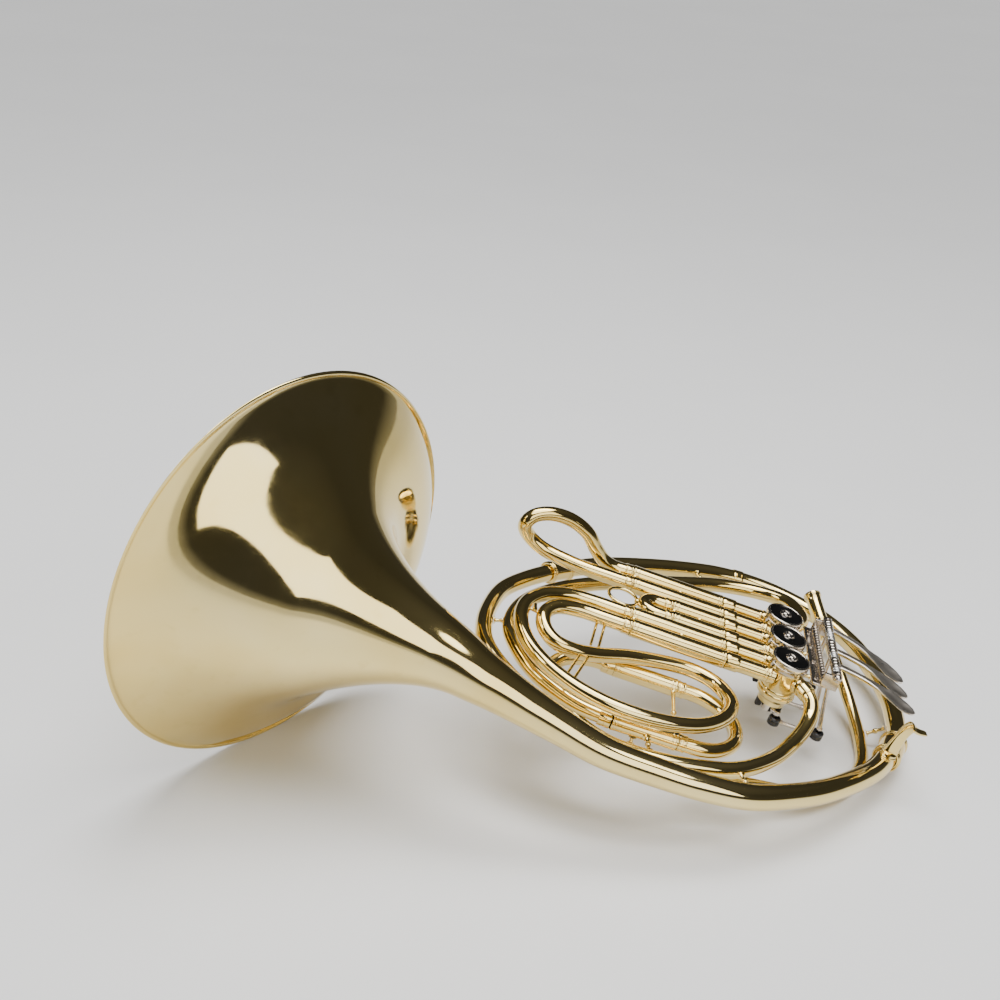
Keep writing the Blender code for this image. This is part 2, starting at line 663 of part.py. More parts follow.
def brace(name, start, end, parent, pad=4.2):
    """A round stay between two tubes, with a small flange at each end."""
    start, end = Vector(start), Vector(end)
    ahead = (end - start).normalized()
    length = (end - start).length
    profile = [(0, 0), (pad, 0), (1.7, 1.4), (1.7, length - 1.4), (pad, length), (0, length)]
    return add(name, turned(profile, start, ahead, 8), BRASS, parent)


def between(a, radius_a, b, radius_b):
    """The two surface points on the line that joins the middles of two tubes."""
    a, b = Vector(a), Vector(b)
    ahead = (b - a).normalized()
    return a + ahead * (radius_a + 0.7), b - ahead * (radius_b + 0.7)


def braces(parent):
    spots = {
        "brace_bell_throat": ((-231, -87, -50), 8.2, (-238, -171, -21), 22.4),
        "brace_tail_left": ((-125, -161, -47), 6.9, (-127, -188.2, -37.6), 11.7),
        "brace_tail_right": ((-34, -147, -41), 6.7, (-24, -178.5, -38), 10.4),
        "brace_tuning": ((-100, -163, -45.2), 7.4, (-104, -133, -44), 7.2),
        "brace_leadpipe_tail": ((84, -17, -56.6), 5.6, (107.4, -15, -38), 9.0),
        "brace_leadpipe_slide": ((-112, -140, -60), 5.8, (-112, -133, -44), 7.0),
        "brace_top": ((-60, 138, -42.6), 8.3, (-56, 101, -33), 6.2),
        "brace_left": ((-236, -46, -50), 7.0, (-216.6, -46, -44), 6.2),
    }
    for name, (a, ra, b, rb) in spots.items():
        start, end = between(a, ra, b, rb)
        brace(name, start, end, parent, 3.2 if (end - start).length > 4 else 2.4)
    for number in (2, 3):
        y = valve_y(number)
        brace(f"bracket_strut_{number}", (CASING_RADIUS + 0.5, y, -11.2), (19.6, y, -11.2), parent, 1.0)


# ---------------------------------------------------------------- the whole horn

def build():
    clear_scene()
    horn = empty("horn_frame", rotation=(LEAN_X, LEAN_Y, 0))
    bell(horn)
    ferrule("bell_ferrule", [(91, -70, -38), (95.5, -61, -38), (99.5, -50, -38), (102, -42, -38)],
            9.3, horn)
    tapered("outer_branch", OUTER_ROUTE, 8.3, 7.2, horn)
    ferrule("branch_ferrule", [(-174, 73.5, -47.7), (-180, 68, -48), (-186, 62, -48), (-192, 55.5, -48.3)],
            7.6, horn)
    tapered("valve_branch", VALVE_ROUTE, 7.1, 6.1, horn, side_port(3, -1))
    tapered("leadpipe", LEADPIPE_ROUTE, 4.9, 6.0, horn)
    tapered("inlet_branch", INLET_ROUTE, 6.0, 6.1, horn, side_port(1, 1))
    receiver(horn)
    first_slide(horn)
    second_slide(horn)
    third_slide(horn)
    tuning_slide(horn)
    for number in (1, 2, 3):
        casing(number, horn)
        cap(number, horn)
        bearing(number, horn)
        rotor(number, horn)
        stop_arm(number, horn)
        bumper(number, horn)
        lever(number, horn)
        link_rod(number, horn)
    hinge(horn)
    finger_hook(horn)
    braces(horn)
    return horn


def set_down(horn):
    """Moves the horn so that it stands on Z = 0 with the middle of its box over the origin."""
    bpy.context.view_layer.update()
    graph = bpy.context.evaluated_depsgraph_get()
    low = Vector((1e9, 1e9, 1e9))
    high = -low
    for thing in bpy.data.objects:
        if thing.type != "MESH" or thing.hide_render:
            continue
        mesh = thing.evaluated_get(graph).to_mesh()
        for vert in mesh.vertices:
            at = thing.matrix_world @ vert.co
            for k in range(3):
                low[k] = min(low[k], at[k])
                high[k] = max(high[k], at[k])
    horn.location = (-(low.x + high.x) / 2, -(low.y + high.y) / 2, -low.z)
    bpy.context.view_layer.update()


set_down(build())
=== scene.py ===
"""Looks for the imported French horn: lacquered brass, nickel-silver keywork, pale floor.

Everything is laid out in the horn's own frame in millimetres (X along the valve slides towards
the levers, Y along the row of valves, Z up through the valves, 0 at the top of the caps) and is
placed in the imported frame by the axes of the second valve's rotor and the levers' hinge.
"""
import json
import math

import bmesh
import bpy
from mathutils import Matrix, Vector


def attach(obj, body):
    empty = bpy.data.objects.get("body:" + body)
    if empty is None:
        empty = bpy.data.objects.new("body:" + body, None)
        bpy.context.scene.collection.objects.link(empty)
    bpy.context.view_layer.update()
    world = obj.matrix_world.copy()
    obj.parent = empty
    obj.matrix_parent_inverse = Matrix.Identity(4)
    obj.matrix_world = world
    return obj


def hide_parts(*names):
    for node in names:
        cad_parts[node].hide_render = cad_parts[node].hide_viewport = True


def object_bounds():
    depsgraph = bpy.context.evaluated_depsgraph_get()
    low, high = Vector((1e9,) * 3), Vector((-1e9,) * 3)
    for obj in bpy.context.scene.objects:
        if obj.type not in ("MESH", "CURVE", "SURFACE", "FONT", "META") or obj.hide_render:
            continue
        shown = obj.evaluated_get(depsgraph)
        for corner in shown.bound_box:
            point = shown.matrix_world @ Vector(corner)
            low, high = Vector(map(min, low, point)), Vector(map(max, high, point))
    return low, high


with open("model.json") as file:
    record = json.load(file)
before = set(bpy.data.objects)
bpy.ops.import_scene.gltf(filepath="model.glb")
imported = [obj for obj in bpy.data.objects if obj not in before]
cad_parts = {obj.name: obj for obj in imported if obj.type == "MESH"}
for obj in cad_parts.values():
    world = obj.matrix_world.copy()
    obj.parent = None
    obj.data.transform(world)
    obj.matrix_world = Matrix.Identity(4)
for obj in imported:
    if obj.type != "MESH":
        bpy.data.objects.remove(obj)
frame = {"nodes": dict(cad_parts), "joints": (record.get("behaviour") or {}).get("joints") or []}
cad_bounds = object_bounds()

# ------------------------------------------------------------------ the horn's own frame

joint = {j["name"]: j for j in frame["joints"]}
AXIS_Z = Vector(joint["rotor_2_turn"]["axis"]).normalized()
AXIS_Y = Vector(joint["lever_2_press"]["axis"]).normalized()
AXIS_X = AXIS_Y.cross(AXIS_Z).normalized()
ORIGIN = Vector(joint["rotor_2_turn"]["pos_m"]) + AXIS_Z * 0.020
HORN = Matrix(((AXIS_X.x, AXIS_Y.x, AXIS_Z.x, ORIGIN.x), (AXIS_X.y, AXIS_Y.y, AXIS_Z.y, ORIGIN.y),
               (AXIS_X.z, AXIS_Y.z, AXIS_Z.z, ORIGIN.z), (0, 0, 0, 1))) @ Matrix.Scale(0.001, 4)

PITCH = 33.8                  # between valve axes
LEG = 9.4                     # half the distance between a slide's two legs
LEVEL = -16.0                 # height of the slides' axes
PORT_REACH = PITCH / 2 + 0.45  # from a valve's axis to the end of its outermost port
TUBE = 5.9                    # outer radius of a slide's tube
SLEEVE = 7.1                  # outer radius of the sleeve it slides in
FIRST_END, SECOND_END = -128.0, -94.0  # mouths of the long and the short sleeves
HINGE = Vector((36, 0, 2))
STOP_RADIUS = 10              # rotor axis to the pin of its stop arm
DROP_LENGTH = 56              # lever hinge to the pin at the lever's foot
FOOT_X = 36 + DROP_LENGTH * math.sin(math.radians(7.5))

BELL_RADIUS = 155
BELL_DEPTH = 74               # distance over which the flare falls away
BELL_CURVE = 1.18
BELL_WALL = 0.9
TAIL_RADIUS = 8.4
TAIL_TAPER = 0.007

TAIL_ROUTE = [(-270, -162, -18), (-235, -172, -21), (-200, -178, -27), (-171, -182, -32),
              (-136, -187, -37), (-96, -188, -38), (-62, -187, -38), (-28, -180, -38),
              (5, -162, -38), (38, -137, -38), (75, -97, -38), (95, -62, -38)]
OUTER_ROUTE = [(98, -54, -38), (106, -30, -38), (108, 0, -38), (106, 28, -38), (99, 62, -39),
               (84, 98, -40), (60, 126, -41), (30, 143, -42), (-2, 149, -42), (-38, 145, -42),
               (-75, 132, -43), (-112, 114, -44), (-148, 94, -46), (-180, 68, -48)]
VALVE_ROUTE = [(-186, 62, -48), (-208, 36, -49), (-225, 10, -50), (-233, -18, -50),
               (-236, -50, -50), (-231, -80, -50), (-213, -108, -50), (-187, -133, -49),
               (-156, -152, -48), (-125, -161, -47), (-95, -163, -45), (-64, -158, -43),
               (-34, -147, -41), (-6, -122, -38), (13, -93, -33), (22, -72, -26),
               (22, -59, -19), (17, -51, -16)]
LEADPIPE_ROUTE = [(47, 85, -24), (56, 64, -31), (66, 40, -40), (78, 8, -51), (84, -25, -57),
                  (81, -58, -59), (62, -94, -60), (28, -120, -60), (-12, -131, -60),
                  (-56, -139, -60), (-100, -142, -60), (-138, -134, -60), (-168, -112, -58),
                  (-181, -88, -54), (-172, -68, -48), (-150, -61, -44), (-131, -61, -44)]
INLET_ROUTE = [(-131.6, -133, -44), (-160, -128, -44), (-190, -108, -44), (-209, -80, -44),
               (-217, -50, -44), (-210, -15, -44), (-190, 18, -44), (-160, 46, -42),
               (-120, 70, -38), (-80, 90, -35), (-45, 105, -32), (-12, 109, -28),
               (12, 97, -21), (21, 78, -17), (23, 62, -16), (17, 51, -16)]
BELL_MOUTH = Vector((-397, -103, -28))
BELL_AXIS = Vector((-0.801, 0.590, -0.099)).normalized()

BARRELS = {1: (38.0, 22.0), 2: (6.4, -10.6), 3: (-20.0, -33.0)}
SPRINGS = {1: (21.7, 6.7), 2: (-10.9, -19.7), 3: (-33.3, -41.0)}
ARM_STARTS = {1: 29.0, 2: -3.0, 3: -26.0}
PADDLE_TIPS = {1: (90, -27), 2: (91, -48), 3: (94, -69)}


def valve_y(number):
    """Where a valve's axis stands in the row; the second valve is at 0."""
    return (2 - number) * PITCH


def rod_y(number):
    """Where a link rod runs: midway between the two ends of its stop arm's swing."""
    return valve_y(number) - STOP_RADIUS * (1 + math.sqrt(0.5)) / 2


# ------------------------------------------------------------------ shapes

class Route:
    """A smooth curve through points, measured along its length, with frames that don't twist."""

    def __init__(self, points, straight=False):
        points = [Vector(p) for p in points]
        fine = []
        if straight:
            fine = [points[0]]
            for a, b in zip(points, points[1:]):
                n = max(1, round((b - a).length / 2))
                fine += [a.lerp(b, k / n) for k in range(1, n + 1)]
        else:
            ends = [2 * points[0] - points[1]] + points + [2 * points[-1] - points[-2]]
            for a, b, c, d in zip(ends, ends[1:], ends[2:], ends[3:]):
                n = max(2, round((c - b).length / 1.5))
                for k in range(n):
                    t = k / n
                    fine.append(0.5 * (2 * b + (c - a) * t + (2 * a - 5 * b + 4 * c - d) * t * t
                                       + (3 * b - a - 3 * c + d) * t ** 3))
            fine.append(points[-1])
        self.points = fine
        self.at = [0.0]
        for p, q in zip(fine, fine[1:]):
            self.at.append(self.at[-1] + (q - p).length)
        self.length = self.at[-1]
        tangents = [(fine[min(k + 1, len(fine) - 1)] - fine[max(k - 1, 0)]).normalized()
                    for k in range(len(fine))]
        side = tangents[0].orthogonal().normalized()
        self.sides = []
        for k, tangent in enumerate(tangents):
            if k:
                side = tangents[k - 1].rotation_difference(tangent) @ side
            side = (side - side.dot(tangent) * tangent).normalized()
            self.sides.append(side)
        self.tangents = tangents

    def sample(self, s):
        """Point, tangent and side at a distance along the route; past an end it runs on straight."""
        if s <= 0:
            return self.points[0] + self.tangents[0] * s, self.tangents[0], self.sides[0]
        if s >= self.length:
            return (self.points[-1] + self.tangents[-1] * (s - self.length), self.tangents[-1],
                    self.sides[-1])
        low, high = 0, len(self.at) - 1
        while high - low > 1:
            middle = (low + high) // 2
            if self.at[middle] <= s:
                low = middle
            else:
                high = middle
        t = (s - self.at[low]) / max(1e-9, self.at[high] - self.at[low])
        tangent = self.tangents[low].lerp(self.tangents[high], t).normalized()
        side = self.sides[low].lerp(self.sides[high], t)
        side = (side - side.dot(tangent) * tangent).normalized()
        return self.points[low].lerp(self.points[high], t), tangent, side


def spin_along(bm, route, profile, sides=32, closed=True):
    """Sweeps rings along a route: profile lists (distance, radius); radius 0 is a pole."""
    rings = []
    for s, r in profile:
        at, tangent, side = route.sample(s)
        up = tangent.cross(side)
        if r <= 0:
            rings.append([bm.verts.new(at)])
            continue
        rings.append([bm.verts.new(at + r * (math.cos(a) * side + math.sin(a) * up))
                      for a in (2 * math.pi * k / sides for k in range(sides))])
    pairs = list(zip(rings, rings[1:]))
    if closed and len(rings[0]) > 1 and len(rings[-1]) > 1:
        pairs.append((rings[-1], rings[0]))
    for a, b in pairs:
        if len(a) == 1 and len(b) == 1:
            continue
        for k in range(sides):
            n = (k + 1) % sides
            if len(a) == 1:
                bm.faces.new((a[0], b[n], b[k]))
            elif len(b) == 1:
                bm.faces.new((a[k], a[n], b[0]))
            else:
                bm.faces.new((a[k], a[n], b[n], b[k]))


def axle(centre, axis=(0, 0, 1)):
    """A unit-long straight route, for turning a profile about an axis."""
    centre, axis = Vector(centre), Vector(axis).normalized()
    return Route([centre, centre + axis], straight=True)


def tube(bm, route, start, end, wall=0.6, sides=32, step=4.0, radius=None):
    """An open tube with rolled ends. start and end are its radii, or radius is a function."""
    n = max(2, round(route.length / step))
    stations = [route.length * k / n for k in range(n + 1)]
    radius = radius or (lambda s: start + (end - start) * s / route.length)
    edge = 0.25
    profile = [(stations[0], radius(0) - edge), (stations[0] + edge, radius(0))]
    profile += [(s, radius(s)) for s in stations[1:-1]]
    profile += [(route.length - edge, radius(route.length)), (route.length, radius(route.length) - edge)]
    profile += [(s, radius(s) - wall) for s in reversed(stations)]
    spin_along(bm, route, profile, sides)


def band(bm, route, start, end, inner, outer, round_off=0.5, sides=36, grooves=()):
    """A collar round a tube: a closed ring with soft edges and turned grooves."""
    e = min(round_off, (end - start) * 0.3, (outer - inner) * 0.6)
    profile = [(start, inner), (start, outer - e), (start + 0.3 * e, outer - 0.3 * e), (start + e, outer)]
    for g in sorted(grooves):
        at = start + g * (end - start)
        profile += [(at - 0.35, outer), (at - 0.1, outer - 0.3), (at + 0.1, outer - 0.3), (at + 0.35, outer)]
    n = max(1, round((end - start) / 3))
    if not grooves:
        profile += [(start + e + (end - start - 2 * e) * k / n, outer) for k in range(1, n)]
    profile += [(end - e, outer), (end - 0.3 * e, outer - 0.3 * e), (end, outer - e), (end, inner)]
    spin_along(bm, route, profile, sides)


def bead(bm, route, at, inner, swell, half=0.9, sides=36):
    """A half-round ring standing on a tube."""
    profile = [(at - half, inner)]
    for k in range(7):
        a = math.pi * k / 6
        profile.append((at - half * math.cos(a), inner + 0.15 + swell * math.sin(a)))
    profile.append((at + half, inner))
    spin_along(bm, route, profile, sides)


def ball(bm, centre, radius, sides=20, axis=(0, 0, 1)):
    """A sphere with its poles on the axis."""
    n = sides // 2
    profile = [(-radius * math.cos(math.pi * k / n), radius * math.sin(math.pi * k / n))
               for k in range(n + 1)]
    profile[0] = (-radius, 0)
    profile[-1] = (radius, 0)
    spin_along(bm, axle(centre, axis), profile, sides, closed=False)


def turned(bm, centre, axis, profile, sides=48):
    """Turns a profile, a list of (radius, height), about an axis."""
    solid = profile[0][0] == 0 or profile[-1][0] == 0
    spin_along(bm, axle(centre, axis), [(h, r) for r, h in profile], sides, closed=not solid)


def bar(bm, a, b, radius, sides=14):
    """A plain round bar with soft ends."""
    route = Route([a, b], straight=True)
    L = route.length
    e = min(0.25, radius * 0.5)
    spin_along(bm, route, [(0, 0), (0, radius - e), (e, radius), (L - e, radius), (L, radius - e), (L, 0)],
               sides, closed=False)


def stay(bm, a, b, radius=1.35, foot=3.1, middle=True):
    """A turned brace with a spread foot at each end and a small ball at the middle."""
    route = Route([a, b], straight=True)
    L = route.length
    f = min(2.2, L * 0.3)
    shoulder = radius + 0.55 * (foot - radius) * 0.5
    profile = [(0, 0), (0, foot), (0.35, foot), (0.5, foot - 0.35), (0.45 * f, shoulder), (f, radius)]
    if middle and L > 8:
        m = L / 2
        for k in range(7):
            angle = math.pi * k / 6
            profile.append((m - 1.9 * math.cos(angle), radius + 0.9 * math.sin(angle)))
    profile += [(L - f, radius), (L - 0.45 * f, shoulder), (L - 0.5, foot - 0.35), (L - 0.35, foot),
                (L, foot), (L, 0)]
    spin_along(bm, route, profile, 20, closed=False)


def slab(bm, low, high, edge=0.6):
    """A box with rounded corners, in the horn's frame."""
    low, high = Vector(low), Vector(high)
    made = bmesh.ops.create_cube(bm, size=1.0)["verts"]
    for v in made:
        v.co = Vector([(low[k] + high[k]) / 2 + v.co[k] * (high[k] - low[k]) for k in range(3)])
    edges = {e for v in made for e in v.link_edges}
    bmesh.ops.bevel(bm, geom=list(edges), offset=edge, segments=3, profile=0.6, affect="EDGES")


def skin(bm, loops):
    """Joins closed loops of vertices in order and closes both ends."""
    n = len(loops[0])
    for a, b in zip(loops, loops[1:]):
        for k in range(n):
            bm.faces.new((a[k], a[(k + 1) % n], b[(k + 1) % n], b[k]))
    bm.faces.new(loops[0][::-1])
    bm.faces.new(loops[-1])


def strap(bm, route, across, width, thickness, dish=None, stations=40, columns=12):
    """A curved blade with rounded edges. width and dish are functions of 0..1 along it."""
    across = Vector(across)
    loops = []
    before = Vector((0, 0, 1))
    for k in range(stations + 1):
        u = k / stations
        at, tangent, _ = route.sample(u * route.length)
        side = (across - across.dot(tangent) * tangent).normalized()
        normal = side.cross(tangent).normalized()
        if normal.dot(before) < 0:
            normal = -normal
        before = normal
        w, d = width(u) / 2, (dish(u) if dish else 0)
        loop = []
        for sign in (1, -1):
            for c in range(columns + 1):
                v = 2 * c / columns - 1
                if sign < 0:
                    v = -v
                edge = max(0.0, 1 - abs(v) ** 6)
                offset = sign * thickness / 2 * (0.35 + 0.65 * edge ** 0.5) - d * (1 - v * v)
                loop.append(bm.verts.new(at + side * (v * w) + normal * offset))
        loops.append(loop)
    skin(bm, loops)


def screw(bm, centre, axis, radius, height):
    """A plain cheese-head screw."""
    turned(bm, centre, axis, [(0, 0), (radius, 0), (radius, height * 0.65), (radius * 0.86, height * 0.95),
                              (radius * 0.5, height), (0, height)], 28)


# ------------------------------------------------------------------ materials

def nodes_of(name):
    """A new material with its node tree and its shader."""
    made = bpy.data.materials.new(name)
    made.use_nodes = True
    tree = made.node_tree
    shader = tree.nodes["Principled BSDF"]
    return made, tree, shader


def add_noise(tree, scale, detail=4.0, stretch=None, rough=0.55):
    """A noise texture in object coordinates, drawn out along the axes if stretch is given."""
    noise = tree.nodes.new("ShaderNodeTexNoise")
    noise.inputs["Scale"].default_value = scale
    noise.inputs["Detail"].default_value = detail
    noise.inputs["Roughness"].default_value = rough
    place = tree.nodes.new("ShaderNodeTexCoord")
    if stretch:
        mapping = tree.nodes.new("ShaderNodeMapping")
        mapping.inputs["Scale"].default_value = stretch
        tree.links.new(place.outputs["Object"], mapping.inputs["Vector"])
        tree.links.new(mapping.outputs["Vector"], noise.inputs["Vector"])
    else:
        tree.links.new(place.outputs["Object"], noise.inputs["Vector"])
    return noise


def add_ramp(tree, source, stops):
    """A colour ramp through (place, colour) stops."""
    ramp = tree.nodes.new("ShaderNodeValToRGB")
    while len(ramp.color_ramp.elements) < len(stops):
        ramp.color_ramp.elements.new(0.5)
    for element, (at, colour) in zip(ramp.color_ramp.elements, stops):
        element.position = at
        element.color = colour if len(colour) == 4 else (*colour, 1)
    tree.links.new(source, ramp.inputs["Fac"])
    return ramp


def metal(name, tones, rough, coat=0.0, wave=0.0, brushed=0.0, stain=None):
    """Polished metal: slow colour drift, wiping marks in the gloss, and a trace of unevenness."""
    made, tree, shader = nodes_of(name)
    link = tree.links.new
    drift = add_noise(tree, 9.0, 3.0)
    tone = add_ramp(tree, drift.outputs["Fac"], [(0.30, tones[0]), (0.52, tones[1]), (0.72, tones[2])])
    colour = tone.outputs["Color"]
    if stain:
        speck = add_noise(tree, 70.0, 6.0)
        mask = add_ramp(tree, speck.outputs["Fac"], [(0.60, (0, 0, 0)), (0.74, (1, 1, 1))])
        mix = tree.nodes.new("ShaderNodeMix")
        mix.data_type = "RGBA"
        mix.inputs[7].default_value = (*stain, 1)
        scale = tree.nodes.new("ShaderNodeMath")
        scale.operation = "MULTIPLY"
        scale.inputs[1].default_value = 0.22
        link(mask.outputs["Color"], scale.inputs[0])
        link(scale.outputs[0], mix.inputs[0])
        link(colour, mix.inputs[6])
        colour = mix.outputs[2]
    link(colour, shader.inputs["Base Color"])
    shader.inputs["Metallic"].default_value = 1.0
    wipes = add_noise(tree, 55.0, 8.0, (1.0, 3.2, 1.6), 0.7)
    gloss = tree.nodes.new("ShaderNodeMapRange")
    gloss.inputs["From Min"].default_value = 0.35
    gloss.inputs["From Max"].default_value = 0.70
    gloss.inputs["To Min"].default_value = rough[0]
    gloss.inputs["To Max"].default_value = rough[1]
    link(wipes.outputs["Fac"], gloss.inputs["Value"])
    link(gloss.outputs["Result"], shader.inputs["Roughness"])
    if coat:
        shader.inputs["Coat Weight"].default_value = coat
        shader.inputs["Coat Roughness"].default_value = 0.04
        shader.inputs["Coat IOR"].default_value = 1.5
    if wave or brushed:
        uneven = add_noise(tree, 1500.0 if brushed else 42.0, 2.0, (0.04, 1, 1) if brushed else None)
        bump = tree.nodes.new("ShaderNodeBump")
        bump.inputs["Strength"].default_value = brushed or wave
        bump.inputs["Distance"].default_value = 0.00003 if brushed else 0.0004
        link(uneven.outputs["Fac"], bump.inputs["Height"])
        link(bump.outputs["Normal"], shader.inputs["Normal"])
    return made


def dull(name, tones, rough, grain, strength):
    """Moulded rubber or plastic."""
    made, tree, shader = nodes_of(name)
    link = tree.links.new
    drift = add_noise(tree, 120.0, 5.0)
    tone = add_ramp(tree, drift.outputs["Fac"], [(0.35, tones[0]), (0.65, tones[1])])
    link(tone.outputs["Color"], shader.inputs["Base Color"])
    gloss = tree.nodes.new("ShaderNodeMapRange")
    gloss.inputs["To Min"].default_value = rough[0]
    gloss.inputs["To Max"].default_value = rough[1]
    link(drift.outputs["Fac"], gloss.inputs["Value"])
    link(gloss.outputs["Result"], shader.inputs["Roughness"])
    fine = add_noise(tree, grain, 3.0)
    bump = tree.nodes.new("ShaderNodeBump")
    bump.inputs["Strength"].default_value = strength
    bump.inputs["Distance"].default_value = 0.00005
    link(fine.outputs["Fac"], bump.inputs["Height"])
    link(bump.outputs["Normal"], shader.inputs["Normal"])
    return made


BRASS = metal("lacquered_brass", [(0.78, 0.57, 0.18), (0.83, 0.645, 0.245), (0.86, 0.69, 0.305)],
              (0.05, 0.10), coat=0.15, wave=0.05, stain=(0.60, 0.42, 0.10))
BELL_BRASS = metal("bell_brass", [(0.79, 0.60, 0.20), (0.84, 0.665, 0.265), (0.87, 0.71, 0.33)],
                   (0.045, 0.10), coat=0.15, wave=0.08, stain=(0.62, 0.46, 0.13))
SOLDERED = metal("ferrule_brass", [(0.76, 0.54, 0.16), (0.82, 0.62, 0.22), (0.85, 0.67, 0.28)],
                 (0.07, 0.14), coat=0.15, wave=0.04, stain=(0.48, 0.32, 0.08))
INNER_BRASS = metal("bare_brass", [(0.58, 0.44, 0.15), (0.68, 0.53, 0.22), (0.74, 0.60, 0.27)],
                    (0.22, 0.38), wave=0.05, stain=(0.30, 0.20, 0.07))
NICKEL = metal("nickel_silver", [(0.46, 0.41, 0.36), (0.57, 0.51, 0.45), (0.66, 0.60, 0.53)],
               (0.12, 0.24), wave=0.03, stain=(0.34, 0.30, 0.25))
PADDLE = metal("satin_paddle", [(0.66, 0.60, 0.52), (0.73, 0.67, 0.59), (0.79, 0.74, 0.66)],
               (0.26, 0.38), brushed=0.35, stain=(0.60, 0.56, 0.48))
STEEL = metal("spring_steel", [(0.48, 0.47, 0.45), (0.56, 0.55, 0.53), (0.62, 0.61, 0.59)], (0.20, 0.30),
              wave=0.02)
CAP_FACE = metal("cap_face", [(0.075, 0.075, 0.085), (0.11, 0.11, 0.12), (0.16, 0.155, 0.15)], (0.05, 0.11),
                 coat=0.5, stain=(0.28, 0.26, 0.22))
CAP_RIM = metal("cap_rim", [(0.50, 0.44, 0.36), (0.60, 0.54, 0.46), (0.68, 0.62, 0.54)], (0.12, 0.24), coat=0.2,
                stain=(0.30, 0.24, 0.16))
RUBBER = dull("black_rubber", [(0.018, 0.018, 0.019), (0.035, 0.034, 0.033)], (0.6, 0.8), 700, 0.35)
PLASTIC = dull("black_plastic", [(0.012, 0.012, 0.013), (0.026, 0.026, 0.028)], (0.18, 0.32), 1400, 0.12)


def piece(name, bm, material, body, *replaced):
    """Turns a bmesh in the horn's frame into a shown piece that rides on a body."""
    bmesh.ops.remove_doubles(bm, verts=bm.verts, dist=0.0005)
    bmesh.ops.recalc_face_normals(bm, faces=bm.faces)
    bmesh.ops.transform(bm, matrix=HORN, verts=bm.verts)
    mesh = bpy.data.meshes.new(name)
    bm.to_mesh(mesh)
    bm.free()
    mesh.shade_smooth()
    mesh.set_sharp_from_angle(angle=math.radians(40))
    mesh.materials.append(material)
    made = bpy.data.objects.new(name, mesh)
    bpy.context.scene.collection.objects.link(made)
    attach(made, body)
    if replaced:
        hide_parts(*replaced)


# ------------------------------------------------------------------ bell and coil

def bell():
    """The flare with its rolled rim, and the tail that tapers to the ferrule."""
    route = Route([BELL_MOUTH, BELL_MOUTH - BELL_AXIS * 62] + TAIL_ROUTE)
    start = TAIL_RADIUS + TAIL_TAPER * route.length

    def outer(s):
        flare = (BELL_RADIUS - start) * math.exp(-(max(s, 0) / BELL_DEPTH) ** BELL_CURVE)
        return flare + TAIL_RADIUS + TAIL_TAPER * (route.length - s)

    stations = []
    s = 5.0
    while s < route.length:
        stations.append(s)
        s += 1.6 if s < 30 else (2.6 if s < 90 else 4.0)
    stations.append(route.length)
    profile = []
    for k in range(15):
        a = math.radians(205 - 250 * k / 14)
        profile.append((2.6 + 2.3 * math.cos(a), outer(2.6) + 0.2 + 2.1 * math.sin(a)))
    profile += [(s, outer(s)) for s in stations]
    profile += [(s, outer(s) - BELL_WALL) for s in reversed(stations)]
    profile += [(3.4, outer(3.4) - 1.6), (1.6, outer(1.6) - 1.4)]
    bm = bmesh.new()
    spin_along(bm, route, profile, 160)
    piece("bell_flare", bm, BELL_BRASS, "horn_body", "bell")


def port(number, end):
    """Foot and direction of the port by which the coil enters an outermost valve."""
    ahead = Vector((1, end, 0)).normalized()
    return Vector((0, valve_y(number), LEVEL)) + ahead * PORT_REACH, ahead


def main_tubes():
    """The fixed tubes of the coil and the mouthpiece receiver."""
    outer = Route(OUTER_ROUTE)
    bm = bmesh.new()
    tube(bm, outer, 8.3, 7.2, sides=40)
    band(bm, outer, outer.length * 0.60, outer.length * 0.60 + 9, 7.0, 8.3, grooves=(0.25, 0.75))
    piece("main_branch", bm, BRASS, "horn_body", "outer_branch")

    foot, ahead = port(3, -1)
    route = Route(VALVE_ROUTE[:-1] + [foot + ahead * 5.5, foot + ahead * 0.4])
    bm = bmesh.new()
    tube(bm, route, 7.1, 6.1, sides=36)
    band(bm, route, route.length - 9.5, route.length - 0.2, 5.9, 7.0, grooves=(0.2, 0.8))
    piece("valve_tube", bm, BRASS, "horn_body", "valve_branch")

    foot, ahead = port(1, 1)
    route = Route(INLET_ROUTE[:-1] + [foot + ahead * 5.5, foot + ahead * 0.4])
    bm = bmesh.new()
    tube(bm, route, 6.0, 6.1, sides=36)
    band(bm, route, route.length - 9.5, route.length - 0.2, 5.9, 7.0, grooves=(0.2, 0.8))
    band(bm, route, -0.85, 9, 5.8, 7.1, grooves=(0.5,))
    piece("inlet_tube", bm, BRASS, "horn_body", "inlet_branch")

    lead = Route(LEADPIPE_ROUTE)
    bm = bmesh.new()
    tube(bm, lead, 4.9, 6.0, sides=32)
    band(bm, lead, 1.0, 14.0, 4.8, 6.3, grooves=(0.12, 0.88))
    band(bm, lead, lead.length - 9, lead.length + 0.25, 5.8, 7.1, grooves=(0.5,))
    piece("lead_pipe", bm, BRASS, "horn_body", "leadpipe")

    ahead = Vector((-0.358, 0.870, 0.338)).normalized()
    mouth = Vector(LEADPIPE_ROUTE[0]) + ahead * 30.3
    bm = bmesh.new()
    turned(bm, mouth, -ahead, [(4.6, 0.3), (4.9, 0), (7.0, 0), (7.4, 0.4), (7.4, 1.3), (7.15, 1.5), (7.4, 1.7),
                               (7.4, 2.8), (7.0, 3.3), (6.6, 3.8), (6.5, 9), (6.4, 15), (6.3, 22), (6.25, 26),
                               (6.6, 26.4), (6.6, 28.2), (6.2, 28.8), (6.1, 30), (4.1, 30), (4.3, 15)], 48)
    piece("receiver", bm, BRASS, "horn_body", "mouthpiece_receiver")


